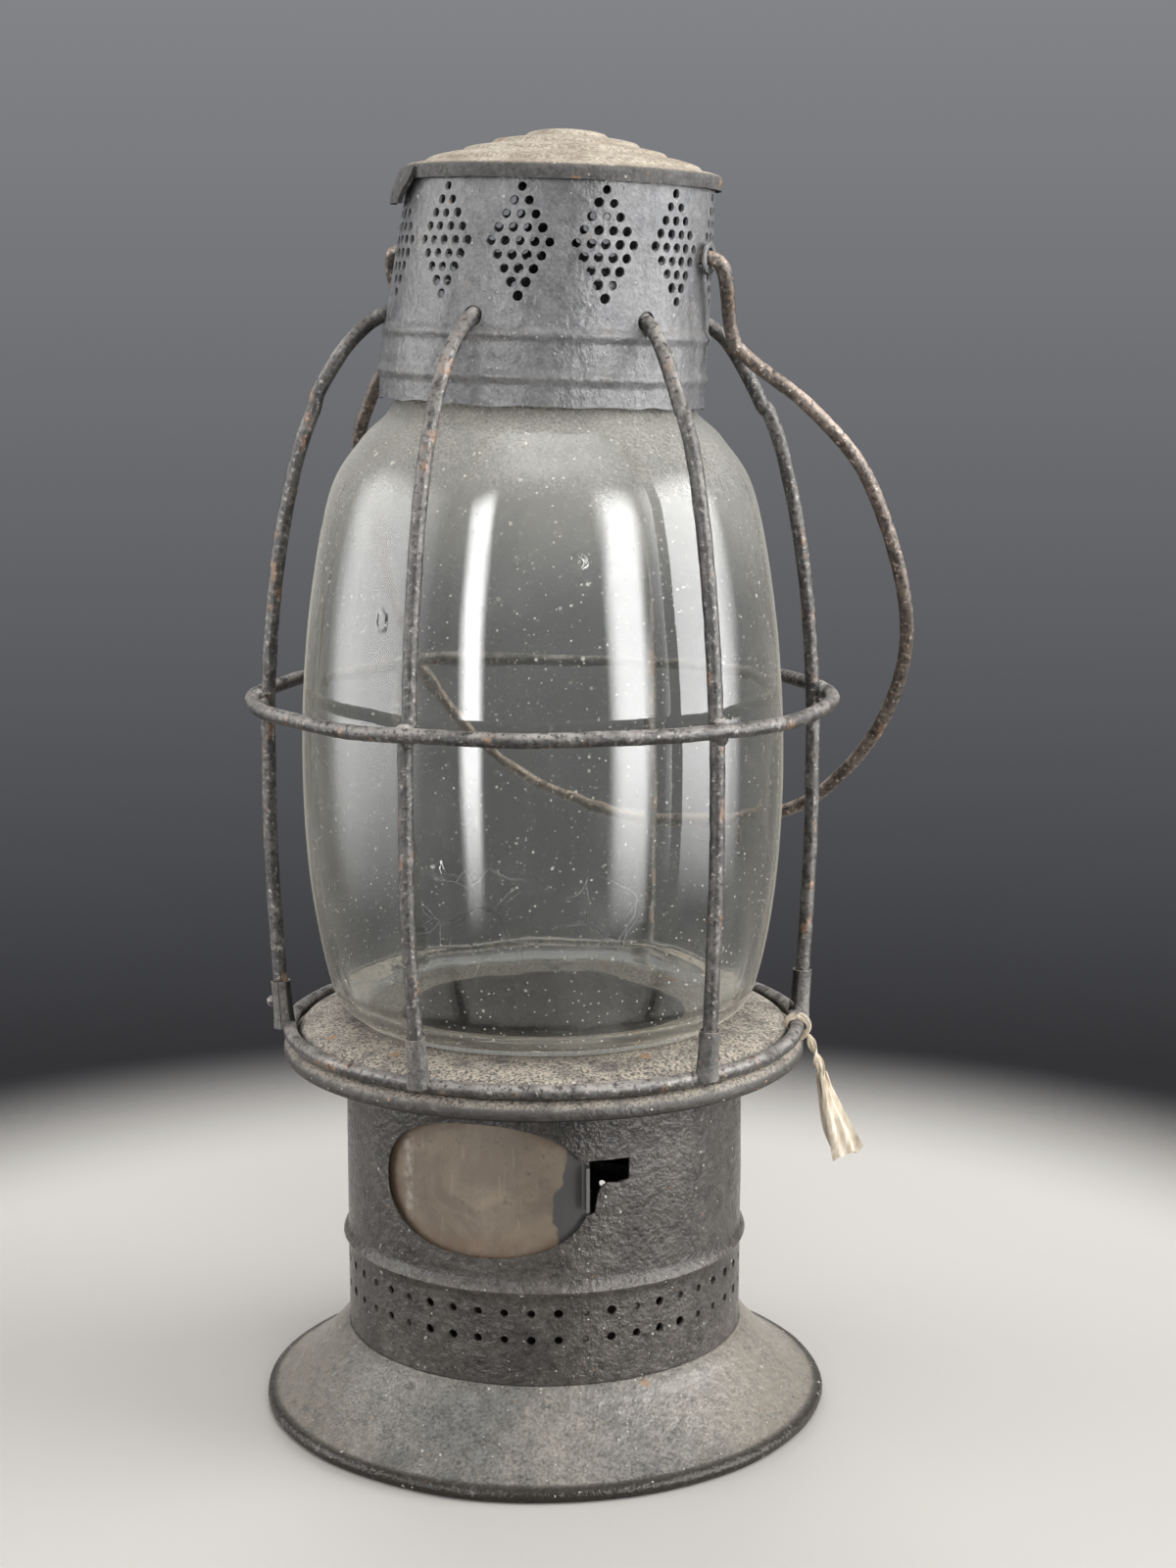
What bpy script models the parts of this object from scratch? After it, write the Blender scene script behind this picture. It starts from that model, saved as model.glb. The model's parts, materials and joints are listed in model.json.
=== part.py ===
"""Wire-guarded kerosene lantern: tin base and hood, glass globe, swinging bail and lift-out burner.

Lengths are millimetres times MM. The lantern's axis is Z and it stands on Z = 0. A bearing is
counted in degrees from the front (-Y) towards +X.
"""
from math import cos, pi, radians, sin, tan

import bmesh
import bpy
from mathutils import Matrix, Vector

for old in list(bpy.data.objects):
    bpy.data.objects.remove(old, do_unlink=True)

MM = 0.001
GAP = 0.3             # clearance between touching pieces
SHEET = 1.0           # tin plate
WIRE = 1.9            # radius of the guard and ring wire
ROUND = 32            # facets round the large turned pieces

# Base
SKIRT_RADIUS = 76.0
ROLL_RADIUS = 1.95
FLANGE_TOP = 21.6
FLANGE_INNER = 45.0
DRUM_RADIUS = 53.2
DRUM_TOP = 105.6
BEAD_Z = 46.9
VENT_ROWS = (40.9, 33.8)
VENTS_PER_ROW = 48
VENT_RADIUS = 1.5
VENT_BEARING = 4.7

# Door of the base
DOOR_BEARING = -17.3
OVAL_HALF_WIDTH = 27.4
OVAL_HALF_HEIGHT = 17.6
OVAL_Z = 72.6
NOTCH_Z = (67.4, 80.8)
SLOT_Z = (75.1, 80.8)
SLOT_END_BEARING = 24.8
DOOR_OUTER = 51.7
DOOR_BEARINGS = (-56.0, 13.6)
DOOR_Z = (51.2, 93.8)
RAIL_BEARINGS = (-118.0, 20.0)

# Plate, cage and globe
SEAT_Z = 107.2
RIM_RING = (68.0, 103.7)
GUARD_RING = (76.1, 192.0)
GUARD_BEARINGS = (-25.5, 36.6, 95.0, 155.0, 215.0, 275.0)
GUARD_LINE = [(69.4, 106.4), (70.5, 120.0), (72.0, 150.0), (72.2, 172.0), (71.9, 192.0), (70.0, 218.0),
              (66.6, 240.0), (61.5, 260.0), (54.0, 276.0), (46.5, 286.2), (38.8, 291.2)]
GLOBE_LINE = [(50.3, 107.5), (56.5, 115.4), (61.9, 144.0), (63.3, 180.0), (61.0, 214.0), (55.3, 245.0),
              (47.1, 258.9), (40.2, 265.8), (38.2, 270.5), (38.2, 277.0)]
GLASS = 2.6

# Hood, cap and bail; the hood is knocked over to the right
HOOD_FOOT = 268.6
HOOD_TOP = 324.4
RIM_Z = 323.0          # lower edge of the cap's rim
HOOD_TILT = radians(2.0)
HOOD_SKEW = radians(4.3)
SKEW_FROM = 280.0
HOOD_BEADS = (275.6, 286.0)
PIVOT_Z = 306.0
PIVOT_BEARING = 67.0
PIVOT_RADIUS = 40.5
EAR_REACH = 41.4       # inner face of an ear, clear of the slanted wall
BAIL_WIRE = 1.85
BAIL_DROP = radians(25.1)
# The hand-bent bail from its right end to its left: (along the pivot axis, away from it)
BAIL_LINE = [(36.0, 0.0), (43.0, 0.0), (46.0, 4.0), (46.0, 20.0), (49.5, 27.0), (64.7, 41.0), (77.0, 61.0),
             (83.4, 96.5), (79.0, 124.5), (64.5, 151.0), (43.0, 169.5), (5.0, 176.0), (-23.0, 172.0),
             (-48.0, 158.5), (-65.5, 132.0), (-72.5, 97.0), (-70.0, 62.0), (-61.0, 42.0), (-50.5, 27.0),
             (-47.5, 20.0), (-47.5, 4.0), (-44.5, 0.0), (-36.0, 0.0)]

# Fount and burner
POT_RADIUS = 43.5
POT_SHOULDER = 40.0
POT_TOP = 46.0
LUG_COUNT = 3
LUG_RADIUS = 49.0
LUG_WIDTH = 14.0
FOUNT_TURN = 60.0
BURNER_RADIUS = 11.5
BURNER_Z = (50.8, 66.0)
STEM_BEARING = -18.0
STEM_Z = 59.0
STEM_RADIUS = 1.1
STEM_REACH = 33.0
WHEEL_RADIUS = 4.0
WHEEL_TEETH = 8
WICK = (10.6, 1.8)
WICK_Z = (12.0, 83.0)
TUBE = (13.4, 4.4)
TUBE_WALL = 0.8
TUBE_Z = (47.0, 80.5)


def finish(name, colour, roughness, metallic, alpha=1.0):
    material = bpy.data.materials.new(name)
    material.use_nodes = True
    shader = material.node_tree.nodes["Principled BSDF"]
    shader.inputs["Base Color"].default_value = (*colour, 1.0)
    shader.inputs["Roughness"].default_value = roughness
    shader.inputs["Metallic"].default_value = metallic
    shader.inputs["Alpha"].default_value = alpha
    return material


DARK_TIN = ("dark_tin", (0.055, 0.055, 0.058), 0.6, 0.6)
GREY_TIN = ("grey_tin", (0.17, 0.175, 0.18), 0.55, 0.7)
BARE_TIN = ("bare_tin", (0.26, 0.24, 0.21), 0.5, 0.8)
RUSTY_WIRE = ("rusty_wire", (0.075, 0.055, 0.042), 0.75, 0.6)
BRASS = ("brass", (0.42, 0.31, 0.13), 0.4, 1.0)
COTTON = ("cotton", (0.72, 0.66, 0.54), 0.95, 0.0)
PAPER = ("paper", (0.82, 0.81, 0.78), 0.9, 0.0)
CLEAR_GLASS = ("clear_glass", (0.86, 0.9, 0.84), 0.06, 0.0, 0.35)


def add(name, data, look, location=(0.0, 0.0, 0.0)):
    piece = bpy.data.objects.new(name, data)
    bpy.context.collection.objects.link(piece)
    piece.location = location
    label, *values = look
    data.materials.append(finish(f"{name}_{label}", *values))
    return piece


def mesh_from(bm, name):
    bmesh.ops.remove_doubles(bm, verts=bm.verts, dist=1e-6)
    bmesh.ops.recalc_face_normals(bm, faces=bm.faces)
    mesh = bpy.data.meshes.new(name)
    bm.to_mesh(mesh)
    bm.free()
    mesh.shade_smooth()
    mesh.set_sharp_from_angle(angle=radians(35))
    return mesh


def direction(bearing):
    angle = radians(bearing)
    return Vector((sin(angle), -cos(angle), 0.0))


def at(bearing, radius, height):
    """World point in metres at a bearing, a radius and a height in millimetres."""
    return (direction(bearing) * radius + Vector((0.0, 0.0, height))) * MM


def smooth_line(points, steps):
    """Points of a smooth curve through every control point, with `steps` spans between two of them."""
    points = [Vector(p) for p in points]
    ends = [points[0] * 2 - points[1], *points, points[-1] * 2 - points[-2]]
    line = []
    for a, b, c, d in zip(ends, ends[1:], ends[2:], ends[3:]):
        for step in range(steps):
            t = step / steps
            line.append(0.5 * (2 * b + (c - a) * t + (2 * a - 5 * b + 4 * c - d) * t ** 2
                               + (3 * b - a - 3 * c + d) * t ** 3))
    return line + [points[-1]]


def arc(centre, radius, start, stop, count):
    angles = [radians(start + (stop - start) * i / (count - 1)) for i in range(count)]
    return [(centre[0] + radius * cos(a), centre[1] + radius * sin(a)) for a in angles]


def turned_mesh(name, outline, segments=ROUND):
    """Closed outline of (radius, height) turned once round Z."""
    bm = bmesh.new()
    verts = [bm.verts.new((r * MM, 0.0, z * MM)) for r, z in outline]
    loops = [bm.edges.new((a, b)) for a, b in zip(verts, verts[1:] + verts[:1])
             if a.co.x > 0.0 or b.co.x > 0.0]
    bmesh.ops.spin(bm, geom=verts + loops, cent=(0, 0, 0), axis=(0, 0, 1), angle=2 * pi,
                   steps=segments, use_merge=True)
    bmesh.ops.dissolve_degenerate(bm, edges=bm.edges, dist=1e-6)
    return mesh_from(bm, name)


def swept_mesh(name, outline, bearings, segments):
    """Closed outline of (radius, height) carried round Z between two bearings, with flat ends."""
    start, stop = bearings
    bm = bmesh.new()
    verts = [bm.verts.new(at(start, r, z)) for r, z in outline]
    face = bm.faces.new(verts)
    bmesh.ops.spin(bm, geom=[face, *face.verts, *face.edges], cent=(0, 0, 0), axis=(0, 0, 1),
                   angle=radians(stop - start), steps=segments, use_merge=False)
    return mesh_from(bm, name)


def prisms_mesh(name, placements, outline, length):
    """One prism per placement matrix: an outline in its XY plane, drawn out along +Z."""
    bm = bmesh.new()
    for place in placements:
        low = [bm.verts.new(place @ Vector((x * MM, y * MM, 0.0))) for x, y in outline]
        high = [bm.verts.new(place @ Vector((x * MM, y * MM, length * MM))) for x, y in outline]
        bm.faces.new(low[::-1])
        bm.faces.new(high)
        for i in range(len(outline)):
            j = (i + 1) % len(outline)
            bm.faces.new((low[i], low[j], high[j], high[i]))
    return mesh_from(bm, name)


def pointing(origin, along):
    """Matrix that stands at `origin` with its Z along a direction and its Y as upright as it can be."""
    z_axis = Vector(along).normalized()
    up = Vector((0.0, 0.0, 1.0)) if abs(z_axis.z) < 0.99 else Vector((0.0, 1.0, 0.0))
    x_axis = up.cross(z_axis).normalized()
    y_axis = z_axis.cross(x_axis)
    return Matrix.Translation(origin) @ Matrix((x_axis, y_axis, z_axis)).transposed().to_4x4()


def polygon(radius, sides, half_step=False):
    turn = 0.5 if half_step else 0.0
    return [(radius * cos(2 * pi * (i + turn) / sides), radius * sin(2 * pi * (i + turn) / sides))
            for i in range(sides)]


def box(width, height):
    across = width / 2
    up = height / 2
    return [(-across, -up), (across, -up), (across, up), (-across, up)]


def wire(name, points, radius, look, location=(0.0, 0.0, 0.0), resolution=2, swell=None):
    """Round wire through world points in metres; `swell` scales its radius point by point."""
    curve = bpy.data.curves.new(name, "CURVE")
    curve.dimensions = "3D"
    curve.bevel_depth = radius * MM
    curve.bevel_resolution = resolution
    curve.use_fill_caps = True
    spline = curve.splines.new("POLY")
    spline.points.add(len(points) - 1)
    for i, (slot, point) in enumerate(zip(spline.points, points)):
        slot.co = (*(Vector(point) - Vector(location)), 1.0)
        slot.radius = swell[i] if swell else 1.0
    return add(name, curve, look, location)


def modify(piece, tool_mesh, operation="DIFFERENCE"):
    tool = bpy.data.objects.new(f"{tool_mesh.name}_tool", tool_mesh)
    bpy.context.collection.objects.link(tool)
    tool.hide_render = True
    tool.display_type = "WIRE"
    modifier = piece.modifiers.new(tool_mesh.name, "BOOLEAN")
    modifier.operation = operation
    modifier.object = tool
    modifier.solver = "EXACT"


def lean(point):
    """Where a point of the upright hood lies once the hood is skewed and tilted to the right."""
    skewed = Vector((point[0] + tan(HOOD_SKEW) * max(0.0, point[2] - SKEW_FROM * MM), point[1],
                     point[2] - HOOD_FOOT * MM))
    return Matrix.Rotation(HOOD_TILT, 3, "Y") @ skewed + Vector((0.0, 0.0, HOOD_FOOT * MM))


def leaned(mesh):
    for vertex in mesh.vertices:
        vertex.co = lean(vertex.co)
    return mesh


def bead(radius, height, bulge, half):
    """Three points of a rounded bead pressed out of a wall, from top to bottom."""
    return [(radius, height + half), (radius + bulge, height + half * 0.45),
            (radius + bulge, height - half * 0.45), (radius, height - half)]


def base_skirt():
    roll = (SKIRT_RADIUS - ROLL_RADIUS, ROLL_RADIUS)
    outline = [(FLANGE_INNER, FLANGE_TOP), (53.6, FLANGE_TOP), (55.6, 19.6), (59.0, 15.6), (64.5, 10.2),
               (70.0, 5.9), *arc(roll, ROLL_RADIUS, 105, -60, 5), (73.2, 0.0), (72.4, 2.3), (69.4, 4.9),
               (63.7, 9.4), (58.1, 14.9), (54.6, 19.0), (53.2, FLANGE_TOP - SHEET),
               (FLANGE_INNER, FLANGE_TOP - SHEET)]
    outline = [(r, 0.0 if z < 0.4 else z) for r, z in outline]
    skirt = add("base_skirt", turned_mesh("base_skirt", outline), GREY_TIN)
    notch_bearings = [FOUNT_TURN + i * 360 / LUG_COUNT for i in range(LUG_COUNT)]
    places = [pointing(at(b, FLANGE_INNER - 5, FLANGE_TOP - SHEET / 2), direction(b))
              for b in notch_bearings]
    notches = prisms_mesh("lug_notches", places, box(LUG_WIDTH + 2.0, 4.0), LUG_RADIUS - FLANGE_INNER + 6.6)
    modify(skirt, notches)


def base_drum():
    inner = DRUM_RADIUS - SHEET
    foot = FLANGE_TOP + GAP
    outline = [(inner, DRUM_TOP), (DRUM_RADIUS, DRUM_TOP), *bead(DRUM_RADIUS, BEAD_Z, 1.2, 3.0),
               (DRUM_RADIUS, foot), (inner, foot)]
    drum = add("base_drum", turned_mesh("base_drum", outline, 40), DARK_TIN)
    places = [pointing(at(VENT_BEARING + i * 360 / VENTS_PER_ROW, inner - 2, z),
                       direction(VENT_BEARING + i * 360 / VENTS_PER_ROW))
              for z in VENT_ROWS for i in range(VENTS_PER_ROW)]
    modify(drum, prisms_mesh("vents", places, polygon(VENT_RADIUS, 4), 5.0))
    oval = [(x * OVAL_HALF_WIDTH, y * OVAL_HALF_HEIGHT) for x, y in polygon(1.0, 28)]
    place = pointing(at(DOOR_BEARING, 30.0, OVAL_Z), direction(DOOR_BEARING))
    modify(drum, prisms_mesh("door_oval", [place], oval, 30.0))
    cut_beside_oval(drum, "lip_notch", NOTCH_Z, DOOR_BEARINGS[1] + 1.2)
    cut_beside_oval(drum, "latch_slot", SLOT_Z, SLOT_END_BEARING)


def cut_beside_oval(drum, name, heights, end_bearing):
    low, high = heights
    inside = DRUM_RADIUS - 3
    outside = DRUM_RADIUS + 3
    outline = [(inside, high), (outside, high), (outside, low), (inside, low)]
    modify(drum, swept_mesh(name, outline, (5.0, end_bearing), 4))


def shutter_door():
    inner = DOOR_OUTER - SHEET
    low, high = DOOR_Z
    outline = [(inner, high), (DOOR_OUTER, high), (DOOR_OUTER, low), (inner, low)]
    door = add("shutter_door", swept_mesh("shutter_door", outline, DOOR_BEARINGS, 14), BARE_TIN)
    lip_low, lip_high = NOTCH_Z
    lip_top = lip_high - 0.9
    lip_foot = lip_low + 0.7
    lip = [(inner + 0.2, lip_top), (55.8, lip_top), (55.8, lip_foot), (inner + 0.2, lip_foot)]
    modify(door, swept_mesh("door_lip", lip, (DOOR_BEARINGS[1] - 1.4, DOOR_BEARINGS[1] - 0.2), 1), "UNION")


def door_rails():
    wall = DRUM_RADIUS - SHEET - GAP
    inside = DOOR_OUTER - SHEET - 0.4
    for name, edge, away in (("door_rail_lower", DOOR_Z[0], -1), ("door_rail_upper", DOOR_Z[1], 1)):
        ledge = edge + away * GAP
        outline = [(wall, ledge), (wall, ledge + away * SHEET), (inside - SHEET, ledge + away * SHEET),
                   (inside - SHEET, ledge - away * 2.4), (inside, ledge - away * 2.4), (inside, ledge)]
        add(name, swept_mesh(name, outline, RAIL_BEARINGS, 24), BARE_TIN)


def guard_plate():
    top = [(38.0, SEAT_Z), (51.0, SEAT_Z), (58.0, 106.4), (63.0, 105.1), (65.0, 103.9), (65.6, 102.0),
           (66.6, 101.2), (68.4, 100.6), (69.6, 98.8), (69.8, 96.4)]
    under = [(68.8, 96.4), (68.5, 98.5), (67.6, 99.6), (65.9, 100.3), (64.7, 101.6), (64.1, 103.3),
             (62.6, 104.1), (57.8, 105.4), (51.0, SEAT_Z - SHEET), (38.0, SEAT_Z - SHEET)]
    add("guard_plate", turned_mesh("guard_plate", top + under), DARK_TIN)


def wire_ring(name, ring, segments):
    section = [(ring[0] + x, ring[1] - y) for x, y in polygon(WIRE, 8)]
    add(name, turned_mesh(name, section, segments), RUSTY_WIRE)


def guard_cage():
    wire_ring("plate_ring", RIM_RING, 36)
    wire_ring("guard_ring", GUARD_RING, 36)
    line = smooth_line(GUARD_LINE, 2)
    holes = []
    for number, bearing in enumerate(GUARD_BEARINGS, start=1):
        points = [at(bearing, r, z) for r, z in line]
        neck = [lean(p) if p.z > HOOD_FOOT * MM else p for p in points]
        wire(f"guard_wire_{number}", neck, WIRE, RUSTY_WIRE, resolution=1)
        along = points[1] - points[0]
        tube = [(3.0, 11.2), (3.0, 0.0), (2.35, 0.0), (2.35, 11.2)]
        sleeve = turned_mesh(f"guard_sleeve_{number}", tube, 10)
        piece = add(f"guard_sleeve_{number}", sleeve, DARK_TIN)
        piece.matrix_world = pointing(points[0], along)
        holes.append(pointing(points[-3], points[-1] - points[-3]))
    return holes


def glass_globe():
    outer = smooth_line(GLOBE_LINE, 2)
    inner = [(r - GLASS - (1.0 if z < 110 else 0.0), z) for r, z in GLOBE_LINE]
    outline = [tuple(p) for p in outer] + inner[::-1]
    add("glass_globe", turned_mesh("glass_globe", outline[::-1]), CLEAR_GLASS)


def hood_wall(height):
    """Outer radius of the upright hood above its beads."""
    return 41.5 - 2.1 * (height - 288.6) / (HOOD_TOP - 288.6)


def vent_hood(guard_holes):
    foot = 42.0
    top = hood_wall(HOOD_TOP)
    outer = [(top, HOOD_TOP), (hood_wall(289.2), 289.2), *bead(foot - 0.2, HOOD_BEADS[1], 0.9, 2.2),
             *bead(foot - 0.1, HOOD_BEADS[0], 0.8, 2.2), (foot, HOOD_FOOT)]
    inner = [(foot - SHEET, HOOD_FOOT), (hood_wall(289.2) - SHEET, 289.2), (top - SHEET, HOOD_TOP)]
    outline = outer + inner
    hood = add("vent_hood", leaned(turned_mesh("vent_hood", outline, 40)), GREY_TIN)
    modify(hood, leaned(prisms_mesh("guard_holes", guard_holes, polygon(WIRE + 0.45, 8, True), 16.0)))
    axis = direction(PIVOT_BEARING)
    middle = Vector((0, 0, PIVOT_Z)) * MM
    sides = [pointing(middle + axis * side * 30 * MM, axis * side) for side in (-1, 1)]
    modify(hood, leaned(prisms_mesh("bail_holes", sides, polygon(BAIL_WIRE + 0.6, 8, True), 20.0)))


def hood_cap():
    outer = [(0.0, 337.4), (5.0, 337.0), (10.4, 335.9), (11.6, 335.0), (18.4, 334.4), (20.4, 332.9),
             (25.0, 332.0), (27.2, 330.4), (34.4, 329.2), (36.6, 327.4), (40.2, 326.7),
             (40.8, 326.1), (40.8, RIM_Z)]
    under = [(40.0, RIM_Z), (40.0, HOOD_TOP + GAP), (35.4, HOOD_TOP + 1.0), (33.6, 328.0), (26.4, 329.2),
             (24.2, 330.9), (19.6, 331.8), (17.6, 333.3), (10.8, 333.9), (4.0, 335.8), (0.0, 336.2)]
    add("hood_cap", leaned(turned_mesh("hood_cap", outer + under)), BARE_TIN)
    tab = [(41.9, 325.0), (42.2, 318.2), (41.3, 317.6), (41.1, 325.0)]
    add("cap_tab", leaned(swept_mesh("cap_tab", tab, (-90.0, -78.0), 3)), BARE_TIN)


def bail():
    axis = direction(PIVOT_BEARING)
    centre = lean(Vector((0, 0, PIVOT_Z)) * MM)
    right = (lean(Vector((0, 0, PIVOT_Z)) * MM + axis * PIVOT_RADIUS * MM) - centre).normalized()
    back = right.cross(Vector((0, 0, -1))).normalized()
    down = back.cross(right).normalized()
    hang = down * cos(BAIL_DROP) + back * sin(BAIL_DROP)
    points = [centre + (right * s + hang * t) * MM for s, t in smooth_line(BAIL_LINE, 2)]
    wire("bail_handle", points, BAIL_WIRE, RUSTY_WIRE, location=centre)
    for name, side in (("bail_ear_right", 1), ("bail_ear_left", -1)):
        ring = [(4.2, 1.4), (4.2, 0.0), (2.4, 0.0), (2.4, 1.4)]
        ear = add(name, turned_mesh(name, ring, 14), GREY_TIN)
        ear.matrix_world = pointing(centre + right * side * EAR_REACH * MM, right * side)
    print("bail pivot (m)", [round(v, 5) for v in centre], "axis", [round(v, 5) for v in right])


def fount():
    wall = 0.9
    outer = [(9.4, POT_TOP), (16.0, POT_TOP - 0.4), (41.0, POT_SHOULDER + 2.6), (POT_RADIUS, POT_SHOULDER),
             (POT_RADIUS, 0.8), (POT_RADIUS - 0.8, 0.0), (0.0, 0.0)]
    inner = [(0.0, wall), (POT_RADIUS - wall, wall + 0.6), (POT_RADIUS - wall, POT_SHOULDER - 0.4),
             (40.4, POT_SHOULDER + 1.6), (16.0, POT_TOP - 1.3), (9.4, POT_TOP - 1.0)]
    pot = add("fount_pot", turned_mesh("fount_pot", outer + inner, 36), BARE_TIN)
    lug_z = FLANGE_TOP + GAP + 0.75
    turn = 360 / LUG_COUNT
    lugs = [pointing(at(i * turn, POT_RADIUS - 0.7, lug_z), direction(i * turn))
            for i in range(LUG_COUNT)]
    modify(pot, prisms_mesh("lugs", lugs, box(LUG_WIDTH, 1.5), LUG_RADIUS - POT_RADIUS + 0.7), "UNION")
    collar = [(13.2, POT_TOP + 4.4), (13.2, POT_TOP + GAP), (9.6, POT_TOP + GAP), (9.6, POT_TOP + 4.4)]
    add("burner_collar", turned_mesh("burner_collar", collar, 24), BRASS)


def stem_frame(along=0.0, beside=0.0, height=0.0):
    """Matrix on the burner with Z along the wick stem, Y up and X across the wick's flat side."""
    axis = direction(STEM_BEARING)
    across = Vector((0, 0, 1)).cross(axis)
    return pointing((axis * along + across * beside + Vector((0, 0, height))) * MM, axis)


def burner():
    low, high = BURNER_Z
    wall = 0.8
    cup = [(BURNER_RADIUS, high), (BURNER_RADIUS, low), (0.0, low), (0.0, low + 1.4),
           (BURNER_RADIUS - wall, low + 1.4), (BURNER_RADIUS - wall, high)]
    body = add("burner_body", turned_mesh("burner_body", cup, 24), BRASS)
    upright = Matrix.Rotation(radians(STEM_BEARING) - pi / 2, 4, "Z")
    tube_place = Matrix.Translation((0, 0, TUBE_Z[0] * MM)) @ upright
    slot = Matrix.Translation((0, 0, (low - 1) * MM)) @ upright
    modify(body, prisms_mesh("tube_slot", [slot], box(TUBE[0] + 2 * GAP, TUBE[1] + 2 * GAP), 4.0))
    wheel_side = -(WICK[1] / 2 + GAP + WHEEL_RADIUS)
    hole = stem_frame(6.0, wheel_side, STEM_Z)
    modify(body, prisms_mesh("stem_hole", [hole], polygon(STEM_RADIUS + 0.4, 10), 10.0))

    height = TUBE_Z[1] - TUBE_Z[0]
    tube = add("wick_tube", prisms_mesh("wick_tube", [tube_place], box(*TUBE), height), BRASS)
    bore = Matrix.Translation((0, 0, -MM)) @ tube_place
    inside = box(TUBE[0] - 2 * TUBE_WALL, TUBE[1] - 2 * TUBE_WALL)
    modify(tube, prisms_mesh("tube_bore", [bore], inside, height + 2))
    window = stem_frame(-3.2, -3.0, STEM_Z)
    modify(tube, prisms_mesh("wheel_window", [window], box(4.0, 9.4), 6.4))

    wick_place = Matrix.Translation((0, 0, WICK_Z[0] * MM)) @ upright
    add("wick", prisms_mesh("wick", [wick_place], box(*WICK), WICK_Z[1] - WICK_Z[0]), COTTON)

    cone = [(4.6, 84.0), (8.2, 80.0), (10.4, 73.0), (11.2, high + GAP), (10.2, high + GAP), (9.5, 73.0),
            (7.4, 79.5), (4.2, 83.0)]
    deflector = add("flame_deflector", turned_mesh("flame_deflector", cone, 24), BRASS)
    slit = Matrix.Translation((0, 0, 77.0 * MM)) @ upright
    modify(deflector, prisms_mesh("flame_slit", [slit], box(TUBE[0] + 2.6, TUBE[1] + 1.2), 10.0))
    wick_drive(wheel_side)


def wick_drive(beside):
    """Toothed wheel, stem and knob that turn together to raise the wick."""
    teeth = [(radius * cos(pi * i / WHEEL_TEETH), radius * sin(pi * i / WHEEL_TEETH))
             for i, radius in enumerate([WHEEL_RADIUS, WHEEL_RADIUS * 0.7] * WHEEL_TEETH)]
    centre = stem_frame(0.0, beside, STEM_Z)
    place = centre.inverted() @ stem_frame(-2.6, beside, STEM_Z)
    wheel = add("wick_wheel", prisms_mesh("wick_wheel", [place], teeth, 5.2), BRASS)
    wheel.matrix_world = centre
    hole = polygon(STEM_RADIUS + GAP, 10)
    bore = prisms_mesh("wheel_bore", [stem_frame(-4.0, beside, STEM_Z)], hole, 8.0)
    modify(wheel, bore)
    place = centre.inverted() @ stem_frame(-4.2, beside, STEM_Z)
    rod = prisms_mesh("wick_stem", [place], polygon(STEM_RADIUS, 10), STEM_REACH + 4.2)
    stem = add("wick_stem", rod, BRASS)
    stem.matrix_world = centre
    rim = [(6.0 if k % 2 else 5.58, 2 * pi * k / 24) for k in range(24)]
    outline = [(r * cos(a), r * sin(a)) for r, a in rim]
    place = centre.inverted() @ stem_frame(STEM_REACH + GAP, beside, STEM_Z)
    knob = add("wick_knob", prisms_mesh("wick_knob", [place], outline, 3.0), BRASS)
    knob.matrix_world = centre
    print("wick stem point (m)", [round(v, 5) for v in centre.translation],
          "axis", [round(v, 5) for v in direction(STEM_BEARING)])


def tag_tie():
    """Strip of twisted paper tied round the rim ring, its tail sticking out and down."""
    turns = [radians(a) for a in range(-40, 131, 34)]
    loop = [(RIM_RING[0] + 3.1 * cos(a), RIM_RING[1] + 3.1 * sin(a)) for a in turns]
    tail = [(72.6, 97.0), (75.4, 88.0), (78.8, 78.0), (81.2, 71.0), (82.6, 67.4)]
    line = [at(84.0, r, z) for r, z in smooth_line(loop[::-1] + tail, 2)]
    swell = [1.0] * (len(line) - 5) + [1.15, 1.4, 1.7, 2.0, 2.2]
    wire("tag_tie", line, 0.8, PAPER, resolution=1, swell=swell)


base_skirt()
base_drum()
shutter_door()
door_rails()
guard_plate()
hood_holes = guard_cage()
glass_globe()
vent_hood(hood_holes)
hood_cap()
bail()
fount()
burner()
tag_tie()
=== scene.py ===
# %% [markdown]
# # A wire-guarded kerosene lantern
# The lantern is a tin base with a sliding door, a thick glass globe inside a cage of iron wire, a
# perforated tin hood with a lift-off cap, and a bail to carry it by. Its solids come packed as a frame:
# one empty for each body that moves, and one plain object for each solid. This lesson gives every
# visible piece its true shape and finish, and hangs each one on the body that it moves with.

# %% Load the frame
import json
from math import atan2, copysign, cos, degrees, hypot, pi, radians, sin, tan

import bmesh
import bpy
from mathutils import Matrix, Vector, noise


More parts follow.
